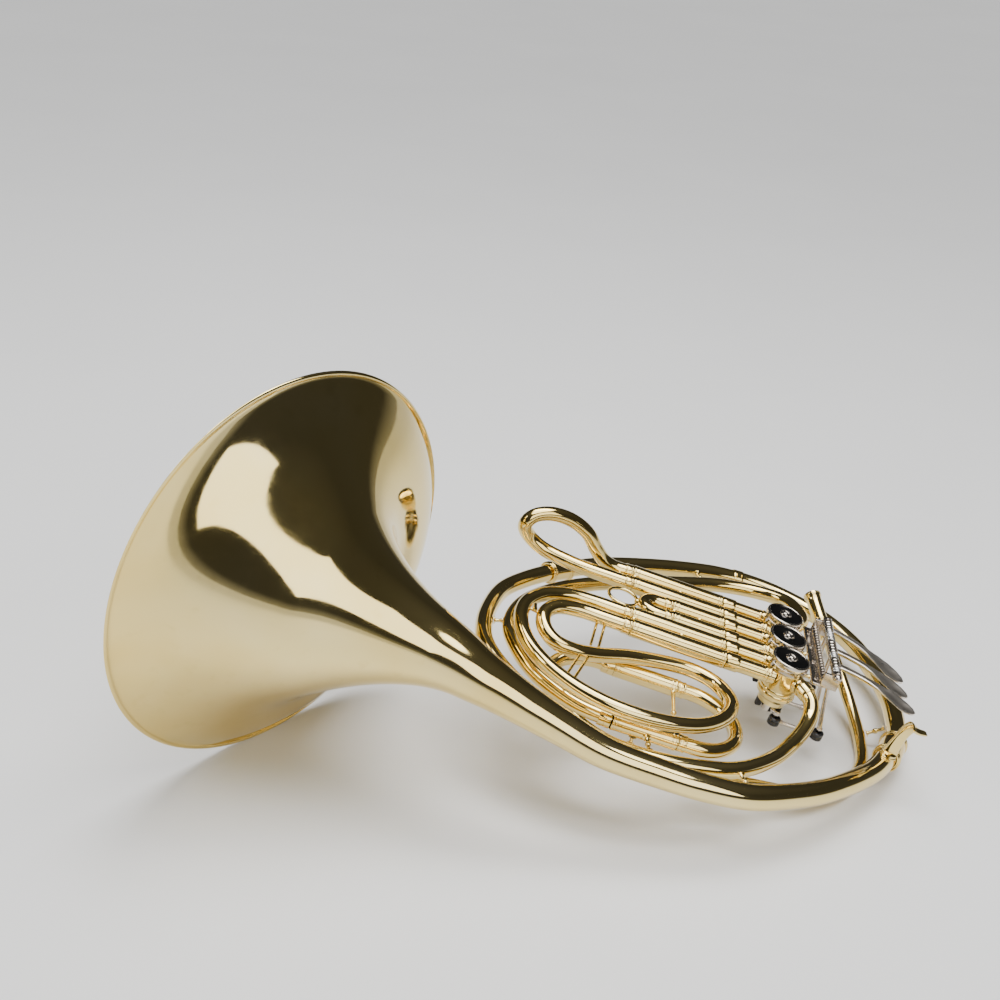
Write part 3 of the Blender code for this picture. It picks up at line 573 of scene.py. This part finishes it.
def ferrules():
    """Beaded rings over the two joints of the main tube."""
    bm = bmesh.new()
    route = Route([(91, -70, -38), (95.5, -61, -38), (99.5, -50, -38), (102, -42, -38)])
    L = route.length
    band(bm, route, 1.5, L - 1.5, 8.7, 10.3, sides=48)
    for at in (1.2, 4.0, L - 4.0, L - 1.2):
        bead(bm, route, at, 10.0, 1.0, 1.1, 48)
    piece("bell_joint_ring", bm, SOLDERED, "horn_body", "bell_ferrule")
    bm = bmesh.new()
    route = Route([(-174, 73.5, -47.7), (-180, 68, -48), (-186, 62, -48), (-192, 55.5, -48.3)])
    L = route.length
    band(bm, route, 1.2, L - 1.2, 7.3, 8.7, sides=40)
    for at in (1.2, 3.6, L - 3.6, L - 1.2):
        bead(bm, route, at, 8.4, 0.9, 1.0, 40)
    piece("branch_joint_ring", bm, SOLDERED, "horn_body", "branch_ferrule")


# ------------------------------------------------------------------ slides

def outer_sleeves(name, leg_ys, level, start, end, node, posts=()):
    """The two fixed sleeves of a slide, with the posts that tie them together."""
    direction = math.copysign(1, end - start)
    bm = bmesh.new()
    for y in leg_ys:
        route = Route([(start, y, level), (end, y, level)], straight=True)
        L = route.length
        tube(bm, route, SLEEVE, SLEEVE, wall=0.55, sides=36, step=8)
        bead(bm, route, 1.3, SLEEVE - 0.2, 0.30, 0.8)
        bead(bm, route, 3.6, SLEEVE - 0.2, 0.18, 0.5)
        bead(bm, route, L - 1.1, SLEEVE - 0.2, 0.25, 0.8)
        bead(bm, route, L - 4.2, SLEEVE - 0.2, 0.18, 0.6)
    low, high = min(leg_ys), max(leg_ys)
    for x in (end - direction * 2.2,) + tuple(posts):
        if high - low > 30:
            stay(bm, (x, low + SLEEVE - 0.4, level), (x, high - SLEEVE + 0.4, level), 1.6, 3.0)
        else:
            bar(bm, (x, low + SLEEVE - 0.6, level), (x, high - SLEEVE + 0.6, level), 1.5)
            ball(bm, (x, (low + high) / 2, level), 2.1)
            for y in (low + SLEEVE - 0.1, high - SLEEVE + 0.1):
                turned(bm, (x, y, level), (0, 1, 0), [(0, -0.5), (2.7, -0.5), (2.9, 0), (2.7, 0.5), (0, 0.5)], 20)
    piece(name, bm, BRASS, "horn_body", node)


def slide_bow(bm, first, bow, last, mouth):
    """A slide's moving tube: two straight legs joined by a bow, with a collar at each sleeve."""
    direction = math.copysign(1, mouth - first[0])
    lead_in = [Vector(first), Vector((mouth - 20 * direction, *first[1:])), Vector((mouth, *first[1:])),
               Vector((mouth + 7 * direction, *first[1:]))]
    way_back = [Vector(last), Vector((mouth - 20 * direction, *last[1:])), Vector((mouth, *last[1:])),
                Vector((mouth + 7 * direction, *last[1:]))]
    route = Route(lead_in + [Vector(p) for p in bow] + way_back[::-1])
    tube(bm, route, TUBE, TUBE, wall=0.5, sides=36, step=2.6)
    inside = abs(mouth - first[0])
    for at, sign in ((inside, 1), (route.length - inside, -1)):
        start, end = sorted((at + sign * 0.4, at + sign * 7.0))
        band(bm, route, start, end, TUBE - 0.2, 6.5, grooves=(0.5,))
        bead(bm, route, at + sign * 1.3, 6.3, 0.45, 0.7)
        bead(bm, route, at + sign * 6.1, 6.3, 0.3, 0.6)


def half_turn(x, y, z, radius, steps, ahead):
    """Points of a semicircular bow in a level plane; ahead is the side of x it stands on."""
    angles = [math.pi * k / steps for k in range(steps + 1)]
    return [(x + ahead * radius * math.sin(a), y + radius * math.cos(a), z) for a in angles]


def slides():
    """The three valve slides and the main tuning slide, each with its sleeves."""
    z = LEVEL
    leg_1, leg_2 = PITCH + LEG, PITCH - LEG
    outer_sleeves("first_sleeves", (leg_1, leg_2), z, -50.3, FIRST_END, "first_slide_sleeves", (-86.0,))
    bm = bmesh.new()
    bow = [(-165, 24.4, -16), (-182, 26, -16), (-205, 29, -14), (-220, 29, -7), (-227, 24, 4),
           (-222, 27, 13), (-209, 32, 17), (-192, 37, 15), (-176, 39, 8), (-165, 40, -3),
           (-155, 42, -12), (-145, 43.2, -16)]
    slide_bow(bm, (-72, leg_2, z), bow, (-72, leg_1, z), FIRST_END)
    bar(bm, (-139, leg_2 + 5.5, z), (-139, leg_1 - 5.5, z), 1.4)
    ball(bm, (-139, PITCH, z), 2.0)
    piece("first_bow", bm, BRASS, "first_slide", "first_slide")

    outer_sleeves("second_sleeves", (LEG, -LEG), z, -50.3, SECOND_END, "second_slide_sleeves", (-70.0,))
    bm = bmesh.new()
    slide_bow(bm, (-62, LEG, z), half_turn(-108, 0, z, LEG, 12, -1), (-62, -LEG, z), SECOND_END)
    hoop = []
    for k in range(49):
        a = 2 * math.pi * k / 48
        hoop.append((-135.2 + 12.0 * math.cos(a), 12.0 * math.sin(a), z))
    hoop_route = Route(hoop)
    spin_along(bm, hoop_route, [(hoop_route.length * k / 72, 1.45) for k in range(73)], 16, closed=False)
    ball(bm, (-123.4, 0, z), 2.3, 20, (1, 0, 0))
    turned(bm, (-124.4, 0, z), (1, 0, 0), [(0, 0), (1.7, 0), (1.5, 1.2), (2.8, 2.2), (2.8, 3.0), (0, 3.0)], 24)
    piece("second_bow", bm, BRASS, "second_slide", "second_slide")

    leg_5, leg_6 = -PITCH + LEG, -PITCH - LEG
    outer_sleeves("third_sleeves", (leg_5, leg_6), z, -50.3, FIRST_END, "third_slide_sleeves", (-86.0,))
    bm = bmesh.new()
    loop = [(-160, -24.4, -16), (-180, -27, -16), (-199, -36, -17), (-211, -52, -19), (-214, -71, -21),
            (-210, -90, -23), (-200, -107, -25), (-184, -123, -26), (-161, -137, -26),
            (-134, -144, -26), (-102, -143, -26), (-71, -132, -26), (-51, -113, -26), (-42, -89, -27),
            (-46, -68, -29), (-58, -55, -30), (-76, -51, -30), (-100, -55, -30), (-125, -63, -30),
            (-149, -75, -30), (-169, -82, -29), (-185, -81, -27), (-195, -72, -23), (-196, -59, -19),
            (-187, -49, -16), (-168, -43.5, -16), (-150, -43.2, -16)]
    slide_bow(bm, (-72, leg_5, z), loop, (-72, leg_6, z), FIRST_END)
    for x in (-3.2, 3.2):
        bar(bm, (-151 + x, -45, -20), (-153 + x, -71, -26), 1.2)
        bar(bm, (-160 + x, -85, -29), (-170 + x, -124, -26.5), 1.2)
    bar(bm, (-211, -60, -19), (-198.5, -62, -20), 1.3)
    bar(bm, (-205, -56, -16.6), (-204.5, -66, -16.6), 1.3)
    ball(bm, (-204.8, -61, -17.6), 2.0)
    piece("third_bow", bm, BRASS, "third_slide", "third_slide")

    near, far, zt = -61, -133, -44
    outer_sleeves("tuning_sleeves", (near, far), zt, -130.7, -80.0, "tuning_slide_sleeves")
    bm = bmesh.new()
    slide_bow(bm, (-112, near, zt), half_turn(-68, -97, zt, 36, 16, 1), (-112, far, zt), -80.0)
    piece("tuning_bow", bm, BRASS, "tuning_slide", "tuning_slide")


# ------------------------------------------------------------------ valves

def valve(number):
    """A casing with its ports, and the cap in three pieces: rim, dark face and boss."""
    y = valve_y(number)
    centre = Vector((0, y, 0))
    up = (0, 0, 1)
    bm = bmesh.new()
    turned(bm, centre, up, [(12.3, -2.8), (14.3, -2.8), (14.5, -3.1), (14.5, -9.2), (14.9, -9.4), (15.1, -10.0),
                            (14.9, -10.6), (14.5, -10.8), (14.5, -26.5), (15.0, -27.0), (15.25, -28.2),
                            (15.0, -29.4), (14.6, -30.0), (15.3, -30.6), (15.5, -31.6), (15.5, -33.6),
                            (15.1, -34.4), (13.9, -35.6), (12.2, -37.2), (11.5, -38.2), (11.4, -39.0),
                            (11.4, -41.6), (11.1, -42.0), (3.4, -42.0), (3.4, -33.0), (12.3, -33.0)], 72)
    for s in (1, -1):
        route = Route([(-9, y + s * LEG, LEVEL), (-50.0, y + s * LEG, LEVEL)], straight=True)
        tube(bm, route, 6.1, 6.1, wall=0.9, sides=32, step=10)
        band(bm, route, 3.4, 6.2, 5.9, 6.9, 0.6)
        band(bm, route, 7.2, 8.8, 5.9, 6.5, 0.5)
        band(bm, route, 30.0, 40.9, 5.9, 6.95, 0.6)
    for end in (1, -1):
        outermost = number == 2 - end
        ahead = Vector((1, end, 0)).normalized() if outermost else Vector((0, end, 0))
        foot = Vector((0, y, LEVEL))
        far = PORT_REACH if outermost else PITCH / 2 - 0.15
        route = Route([foot + ahead * 12.9, foot + ahead * far], straight=True)
        tube(bm, route, 6.1, 6.1, wall=0.9, sides=32, step=3)
        band(bm, route, 1.2, route.length - 0.1, 5.9, 6.9, 0.5)
    piece(f"valve_body_{number}", bm, BRASS, "horn_body", f"valve_casing_{number}")

    bm = bmesh.new()
    turned(bm, centre, up, [(13.5, -1.0), (13.6, -0.25), (13.9, 0.0), (14.6, 0.0), (15.2, -0.35), (15.5, -0.9),
                            (15.5, -4.6), (15.25, -4.8), (15.25, -5.1), (15.5, -5.3), (15.5, -8.5),
                            (15.3, -9.0), (14.9, -9.0), (14.9, -2.5), (13.5, -2.5)], 80)
    piece(f"cap_ring_{number}", bm, CAP_RIM, "horn_body", f"valve_cap_{number}")
    bm = bmesh.new()
    turned(bm, centre, up, [(5.0, -0.2), (6.5, -0.42), (9.5, -0.62), (12.6, -0.72), (13.2, -0.72), (13.4, -0.95),
                            (13.4, -2.4), (5.0, -2.4)], 80)
    piece(f"cap_face_{number}", bm, CAP_FACE, "horn_body")
    bm = bmesh.new()
    turned(bm, centre, up, [(0, 1.35), (1.0, 1.3), (1.9, 1.05), (2.25, 0.6), (2.6, 0.35), (3.0, 0.5), (3.35, 1.05),
                            (3.9, 1.2), (4.5, 1.05), (4.8, 0.5), (4.95, 0.1), (4.95, -2.0), (0, -2.0)], 56)
    piece(f"cap_boss_{number}", bm, NICKEL, "horn_body")


def keywork_under(number):
    """Stop arm, bumper and link rod beneath a valve."""
    y = valve_y(number)
    centre = Vector((0, y, 0))
    reach = STOP_RADIUS * math.sqrt(0.5)
    tip = Vector((reach, y - reach, 0))
    ahead = Vector((1, -1, 0)).normalized()
    bm = bmesh.new()
    turned(bm, centre, (0, 0, 1), [(3.3, -44.5), (4.9, -44.5), (5.3, -44.9), (5.3, -49.9), (4.9, -50.4),
                                   (3.3, -50.4)], 36)
    route = Route([centre + ahead * 4.4 + Vector((0, 0, -47.5)), tip + ahead * 1.8 + Vector((0, 0, -47.5))],
                  straight=True)
    spin_along(bm, route, [(0, 0), (0, 2.2), (route.length - 1.2, 2.15), (route.length - 0.3, 1.6),
                           (route.length, 0)], 20, closed=False)
    turned(bm, tip, (0, 0, 1), [(0, -45.2), (2.3, -45.2), (2.5, -45.6), (2.5, -49.4), (1.3, -49.9),
                                (1.3, -56.9), (2.5, -57.1), (2.6, -57.6), (2.2, -58.2), (0, -58.2)], 28)
    piece(f"stop_lever_{number}", bm, NICKEL, f"rotor_{number}", f"stop_arm_{number}")

    bm = bmesh.new()
    sections = []
    steps = 40
    shape = ((6.3, -42.3), (10.5, -42.3), (10.8, -42.6), (10.8, -49.2), (10.4, -49.6), (6.5, -49.6),
             (6.1, -49.2), (6.1, -42.6))
    for k in range(steps + 1):
        angle = math.radians(-12 + 204 * k / steps)
        out = Vector((math.cos(angle), math.sin(angle), 0))
        sections.append([bm.verts.new(centre + Vector((0, 0, level)) + out * r) for r, level in shape])
    skin(bm, sections)
    piece(f"stop_bumper_{number}", bm, RUBBER, "horn_body", f"bumper_{number}")

    rod = rod_y(number)
    left, right = reach, FOOT_X
    body = f"link_rod_{number}"
    bm = bmesh.new()
    for x, bore, outer in ((left, 3.2, 4.9), (right, 2.9, 5.1)):
        turned(bm, (x, rod, 0), (0, 0, 1), [(bore, -50.4), (outer - 0.5, -50.4), (outer, -50.9),
                                            (outer, -52.6), (outer - 0.25, -52.9), (outer, -53.2),
                                            (outer, -56.6), (outer - 0.5, -57.1), (bore, -57.1)], 40)
    piece(f"ball_sockets_{number}", bm, PLASTIC, body, f"link_rod_{number}")
    bm = bmesh.new()
    route = Route([(left + 4.6, rod, -54), (right - 4.8, rod, -54)], straight=True)
    L = route.length
    spin_along(bm, route, [(0, 0), (0, 2.1), (2.4, 2.1), (2.8, 1.55), (L - 6.2, 1.55), (L - 6.0, 2.2),
                           (L - 3.6, 2.2), (L - 3.4, 1.55), (L - 2.6, 1.55), (L - 2.2, 2.1), (L, 2.1),
                           (L, 0)], 20, closed=False)
    piece(f"link_bar_{number}", bm, NICKEL, body)


# ------------------------------------------------------------------ levers

PLATE_WIDTHS = [(0, 6.5), (0.06, 6.3), (0.2, 5.8), (0.38, 5.6), (0.5, 7.2), (0.62, 11.2), (0.74, 14.4),
                (0.84, 15.4), (0.92, 13.2), (0.97, 9.0), (1.0, 3.2)]


def plate_width(u):
    """Width of a finger plate at 0..1 along it, eased between the listed places."""
    for (a, wa), (b, wb) in zip(PLATE_WIDTHS, PLATE_WIDTHS[1:]):
        if u <= b:
            t = (u - a) / (b - a)
            t = t * t * (3 - 2 * t)
            return wa + (wb - wa) * t
    return PLATE_WIDTHS[-1][1]


def plate_dish(u):
    """Depth of the hollow in a finger plate, which grows towards its broad end."""
    return 1.5 * max(0.0, (u - 0.42) / 0.58) ** 0.7 * plate_width(u) / 15.4


def lever(number):
    """A ridged barrel with its drop arm and pin, and a dished finger plate on a rib."""
    body = f"lever_{number}"
    high, low = BARRELS[number]
    bm = bmesh.new()
    L = high - low
    profile = [(2.1, 0), (3.0, 0), (3.2, 0.2)]
    n = max(2, round(L / 4.0))
    for k in range(n):
        for turn in range(9):
            a = math.pi * turn / 8
            profile.append((3.1 + 1.0 * math.sin(a) ** 0.6, L * (k + 0.5 - 0.47 * math.cos(a)) / n))
    profile += [(3.2, L - 0.2), (3.0, L), (2.1, L)]
    turned(bm, HINGE + Vector((0, low, 0)), (0, 1, 0), profile, 36)
    foot_y = rod_y(number)
    foot = Vector((FOOT_X, foot_y, -48))
    head_y = min(max(foot_y, low + 3), high - 3)
    drop = Route([(36.6, head_y, -0.7), (37, head_y, -12), (40, (head_y + foot.y) / 2, -32), foot])
    M = drop.length
    waist = [(M * k / 16, 2.0 - 0.35 * math.sin(math.pi * k / 16)) for k in range(1, 16)]
    spin_along(bm, drop, [(0, 0), (0, 2.1)] + waist + [(M, 1.9), (M, 0)], 20, closed=False)
    # The pin tilts 15 degrees at full press, so both collars stand clear of the socket's rims.
    turned(bm, (foot.x, foot.y, 0), (0, 0, 1), [(0, -46.6), (2.1, -46.6), (2.4, -47.0), (2.4, -48.7),
                                                (2.1, -49.1), (1.3, -49.2), (1.3, -57.9), (1.8, -58.0),
                                                (1.9, -58.3), (1.6, -58.8), (0, -58.8)], 32)
    piece(f"lever_barrel_{number}", bm, NICKEL, body, f"lever_{number}")

    start = Vector((42, ARM_STARTS[number] - 1, 2.9))
    tip = Vector((*PADDLE_TIPS[number], 7))
    along = (tip - start).normalized()
    across = Vector((-along.y, along.x, 0)).normalized()
    points = [Vector((38.9, ARM_STARTS[number], 2.4))]
    for s in (0, 0.18, 0.36, 0.5, 0.62, 0.74, 0.86, 0.95, 1.0):
        points.append(start.lerp(tip, s) + Vector((0, 0, 3.0 * math.sin(math.pi * min(1.0, s * 1.1)))))
    route = Route(points)
    bm = bmesh.new()
    strap(bm, route, across, plate_width, 1.5, plate_dish, 56, 14)
    piece(f"finger_plate_{number}", bm, PADDLE, body)
    bm = bmesh.new()
    under = [p + Vector((0, 0, -1.6 - 0.2 * k)) for k, p in enumerate(points[:8])]
    rib = Route(under)
    strap(bm, rib, across, lambda u: 2.6 - 1.2 * u, 2.4, None, 30, 6)
    piece(f"lever_rib_{number}", bm, SOLDERED, body)


def hinge():
    """The levers' axle, its cradle with a row of ridged rings, the springs and two posts."""
    bm = bmesh.new()
    turned(bm, HINGE, (0, 1, 0), [(0, -47.5), (1.6, -47.3), (2.6, -46.6), (3.0, -45.6), (3.0, -44.95),
                                  (1.8, -44.9), (1.8, 41.4), (3.0, 41.45), (3.0, 42.2), (2.4, 42.8),
                                  (1.9, 43.0), (2.2, 43.3), (2.3, 43.7), (1.9, 44.2), (0, 44.4)], 36)
    ball(bm, HINGE + Vector((0, -46.0, 0)), 3.4, 24, (0, 1, 0))
    piece("hinge_axle", bm, NICKEL, "horn_body", "hinge_rod")
    bm = bmesh.new()
    slab(bm, (20, -44.6, -11), (30, 41.1, -8.6), 0.7)
    for k in range(21):
        y = -40.5 + 78 * k / 20
        turned(bm, (28.4, y - 1.5, -6.6), (0, 1, 0), [(0, 0), (2.6, 0), (3.1, 0.4), (3.1, 2.4), (2.6, 2.8),
                                                      (0, 2.8)], 24)
    for low, high in ((-44.6, -41.3), (38.3, 41.1)):
        slab(bm, (26, low, -10.6), (40, high, 2), 0.6)
        turned(bm, (36, low, 2), (0, 1, 0), [(2.1, 0), (3.9, 0), (4.2, 0.3), (4.2, high - low - 0.3),
                                             (3.9, high - low), (2.1, high - low)], 36)
    for y in (-36, -12, 12, 34):
        screw(bm, (24.5, y, -8.7), (0, 0, 1), 2.2, 1.5)
    piece("hinge_cradle", bm, NICKEL, "horn_body", "hinge_bracket")
    for number, (high, low) in SPRINGS.items():
        bm = bmesh.new()
        turns = max(4, round((high - low - 1.4) / 1.25))
        points = []
        count = turns * 14
        for k in range(count + 1):
            a = 2 * math.pi * k / 14
            points.append(Vector((36 + 3.4 * math.cos(a), low + 0.7 + (high - low - 1.4) * k / count,
                                  2 + 3.4 * math.sin(a))))
        route = Route(points, straight=True)
        profile = [(route.length * k / count, 0.55 if 0 < k < count else 0) for k in range(count + 1)]
        spin_along(bm, route, profile, 8, closed=False)
        y = low + 0.7
        bar(bm, (38.9, y, 2), (40.5, y - 0.2, -6.0), 0.5, 8)
        piece(f"return_spring_{number}", bm, STEEL, "horn_body", f"lever_spring_{number}")
    for number in (2, 3):
        y = valve_y(number)
        bm = bmesh.new()
        stay(bm, (15.0, y, -11.2), (19.7, y, -11.2), 1.6, 2.4, middle=False)
        piece(f"cradle_post_{number}", bm, BRASS, "horn_body", f"bracket_strut_{number}")


def hook():
    """A broad dished strip that rises from a turned foot on the tail and curls over at its tip."""
    bm = bmesh.new()
    route = Route([(88.5, -77, -28.4), (89.5, -77, -17), (91, -77.5, -6), (93, -80.5, 3), (95, -86, 7),
                   (96.5, -91.5, 5.5)])
    strap(bm, route, (0.92, -0.1, -0.3), lambda u: 11.5 - 3.2 * math.sin(math.pi * u) ** 1.5 + 2.0 * u, 1.9,
          lambda u: -1.4, 56, 18)
    turned(bm, (88.3, -76.9, -30.0), (0.08, 0, 1), [(0, 0), (6.4, 0), (6.7, 0.5), (6.5, 1.1), (5.9, 1.4),
                                                    (5.7, 2.0), (6.1, 2.5), (5.9, 3.1), (4.2, 3.9), (0, 4.3)], 36)
    piece("little_finger_hook", bm, BRASS, "horn_body", "finger_hook")


def between(a, radius_a, b, radius_b):
    """Ends of a stay from one tube's surface to another's, given their axes and radii."""
    a, b = Vector(a), Vector(b)
    ahead = (b - a).normalized()
    return a + ahead * (radius_a + 0.2), b - ahead * (radius_b + 0.2)


def braces():
    """The eight stays between tubes."""
    spots = {
        "brace_bell_throat": ((-231, -87, -50), 6.6, (-238, -171, -21), 20.6),
        "brace_tail_left": ((-125, -161, -47), 6.9, (-127, -188.2, -37.6), 11.0),
        "brace_tail_right": ((-34, -147, -41), 6.7, (-24, -178.5, -38), 9.9),
        "brace_tuning": ((-100, -163, -45.2), 7.4, (-104, -133, -44), 7.2),
        "brace_leadpipe_tail": ((84, -17, -56.6), 5.6, (107.4, -15, -38), 9.0),
        "brace_leadpipe_slide": ((-112, -140, -60), 5.8, (-112, -133, -44), 7.0),
        "brace_top": ((-60, 138, -42.6), 8.3, (-56, 101, -33), 6.2),
        "brace_left": ((-236, -46, -50), 7.0, (-216.6, -46, -44), 6.2),
    }
    for name, (a, ra, b, rb) in spots.items():
        start, end = between(a, ra, b, rb)
        bm = bmesh.new()
        stay(bm, start, end, 1.35, 3.2 if (end - start).length > 4 else 2.4)
        piece(name.replace("brace", "stay"), bm, BRASS, "horn_body", name)


bell()
main_tubes()
ferrules()
slides()
for number in (1, 2, 3):
    valve(number)
    keywork_under(number)
    lever(number)
hinge()
hook()
braces()

for name, node in frame["nodes"].items():
    if not node.hide_render:
        node.data.materials.clear()
        node.data.materials.append(INNER_BRASS)

# ------------------------------------------------------------------ floor, light and camera

floor_mesh = bpy.data.meshes.new("floor")
floor_mesh.from_pydata([(-30, -30, 0), (30, -30, 0), (30, 30, 0), (-30, 30, 0)], [], [(0, 1, 2, 3)])
floor = bpy.data.objects.new("floor", floor_mesh)
bpy.context.scene.collection.objects.link(floor)
floor_material, tree, shader = nodes_of("pale_floor")
grain = add_noise(tree, 3.0, 6.0)
tone = add_ramp(tree, grain.outputs["Fac"], [(0.3, (0.84, 0.84, 0.835)), (0.7, (0.87, 0.87, 0.865))])
tree.links.new(tone.outputs["Color"], shader.inputs["Base Color"])
shader.inputs["Roughness"].default_value = 0.65
floor_mesh.materials.append(floor_material)

world = bpy.data.worlds.new("studio")
bpy.context.scene.world = world
world.use_nodes = True
tree = world.node_tree
background = tree.nodes["Background"]
coords = tree.nodes.new("ShaderNodeTexCoord")
split = tree.nodes.new("ShaderNodeSeparateXYZ")
tree.links.new(coords.outputs["Generated"], split.inputs["Vector"])
sky = add_ramp(tree, split.outputs["Z"], [(0.0, (0.30, 0.30, 0.30)), (0.10, (0.055, 0.055, 0.055)),
                                          (0.50, (0.05, 0.05, 0.05)), (0.80, (0.09, 0.09, 0.09)),
                                          (1.0, (0.20, 0.20, 0.20))])
tree.links.new(sky.outputs["Color"], background.inputs["Color"])
background.inputs["Strength"].default_value = 0.9


def area(name, at, look, size, power, colour=(1, 1, 1)):
    """A rectangular light at one place that looks at another."""
    data = bpy.data.lights.new(name, "AREA")
    data.shape = "RECTANGLE"
    data.size, data.size_y = size
    data.energy = power
    data.color = colour
    made = bpy.data.objects.new(name, data)
    bpy.context.scene.collection.objects.link(made)
    at, look = Vector(at), Vector(look)
    made.location = at
    made.rotation_euler = (look - at).to_track_quat("-Z", "Y").to_euler()


low, high = Vector(cad_bounds[0]), Vector(cad_bounds[1])
middle = (low + high) / 2
area("key", middle + Vector((0.75, -1.35, 0.85)), middle + Vector((-0.15, 0, 0)),
     (1.35, 0.95), 12, (1, 0.985, 0.96))
area("top", middle + Vector((0.1, 0.35, 1.4)), middle, (1.3, 0.5), 16)
area("left", middle + Vector((-1.4, -0.5, 0.9)), middle, (0.35, 1.1), 7, (0.97, 0.98, 1))
sun_data = bpy.data.lights.new("wash", "SUN")
sun_data.energy = 2.7
sun_data.angle = math.radians(50)
sun = bpy.data.objects.new("wash", sun_data)
bpy.context.scene.collection.objects.link(sun)
sun.rotation_euler = (math.radians(8), math.radians(6), 0)

camera_data = bpy.data.cameras.new("camera")
camera_data.sensor_width = 36.0
camera_data.lens = 57.6
camera_data.clip_start = 0.01
camera = bpy.data.objects.new("camera", camera_data)
bpy.context.scene.collection.objects.link(camera)
right = Vector((0.942, 0.088, 0.323))
up = Vector((-0.328, 0.4415, 0.835))
turn = HORN.to_3x3() @ Matrix.Scale(1000, 3)
back = right.cross(up).normalized()
up = back.cross(right).normalized()
right.normalize()
columns = [turn @ right, turn @ up, turn @ back]
rotation = Matrix(columns).transposed()
camera.matrix_world = Matrix.Translation(HORN @ Vector((-341.0, -1112.9, 583.8))) @ rotation.to_4x4()
bpy.context.scene.camera = camera
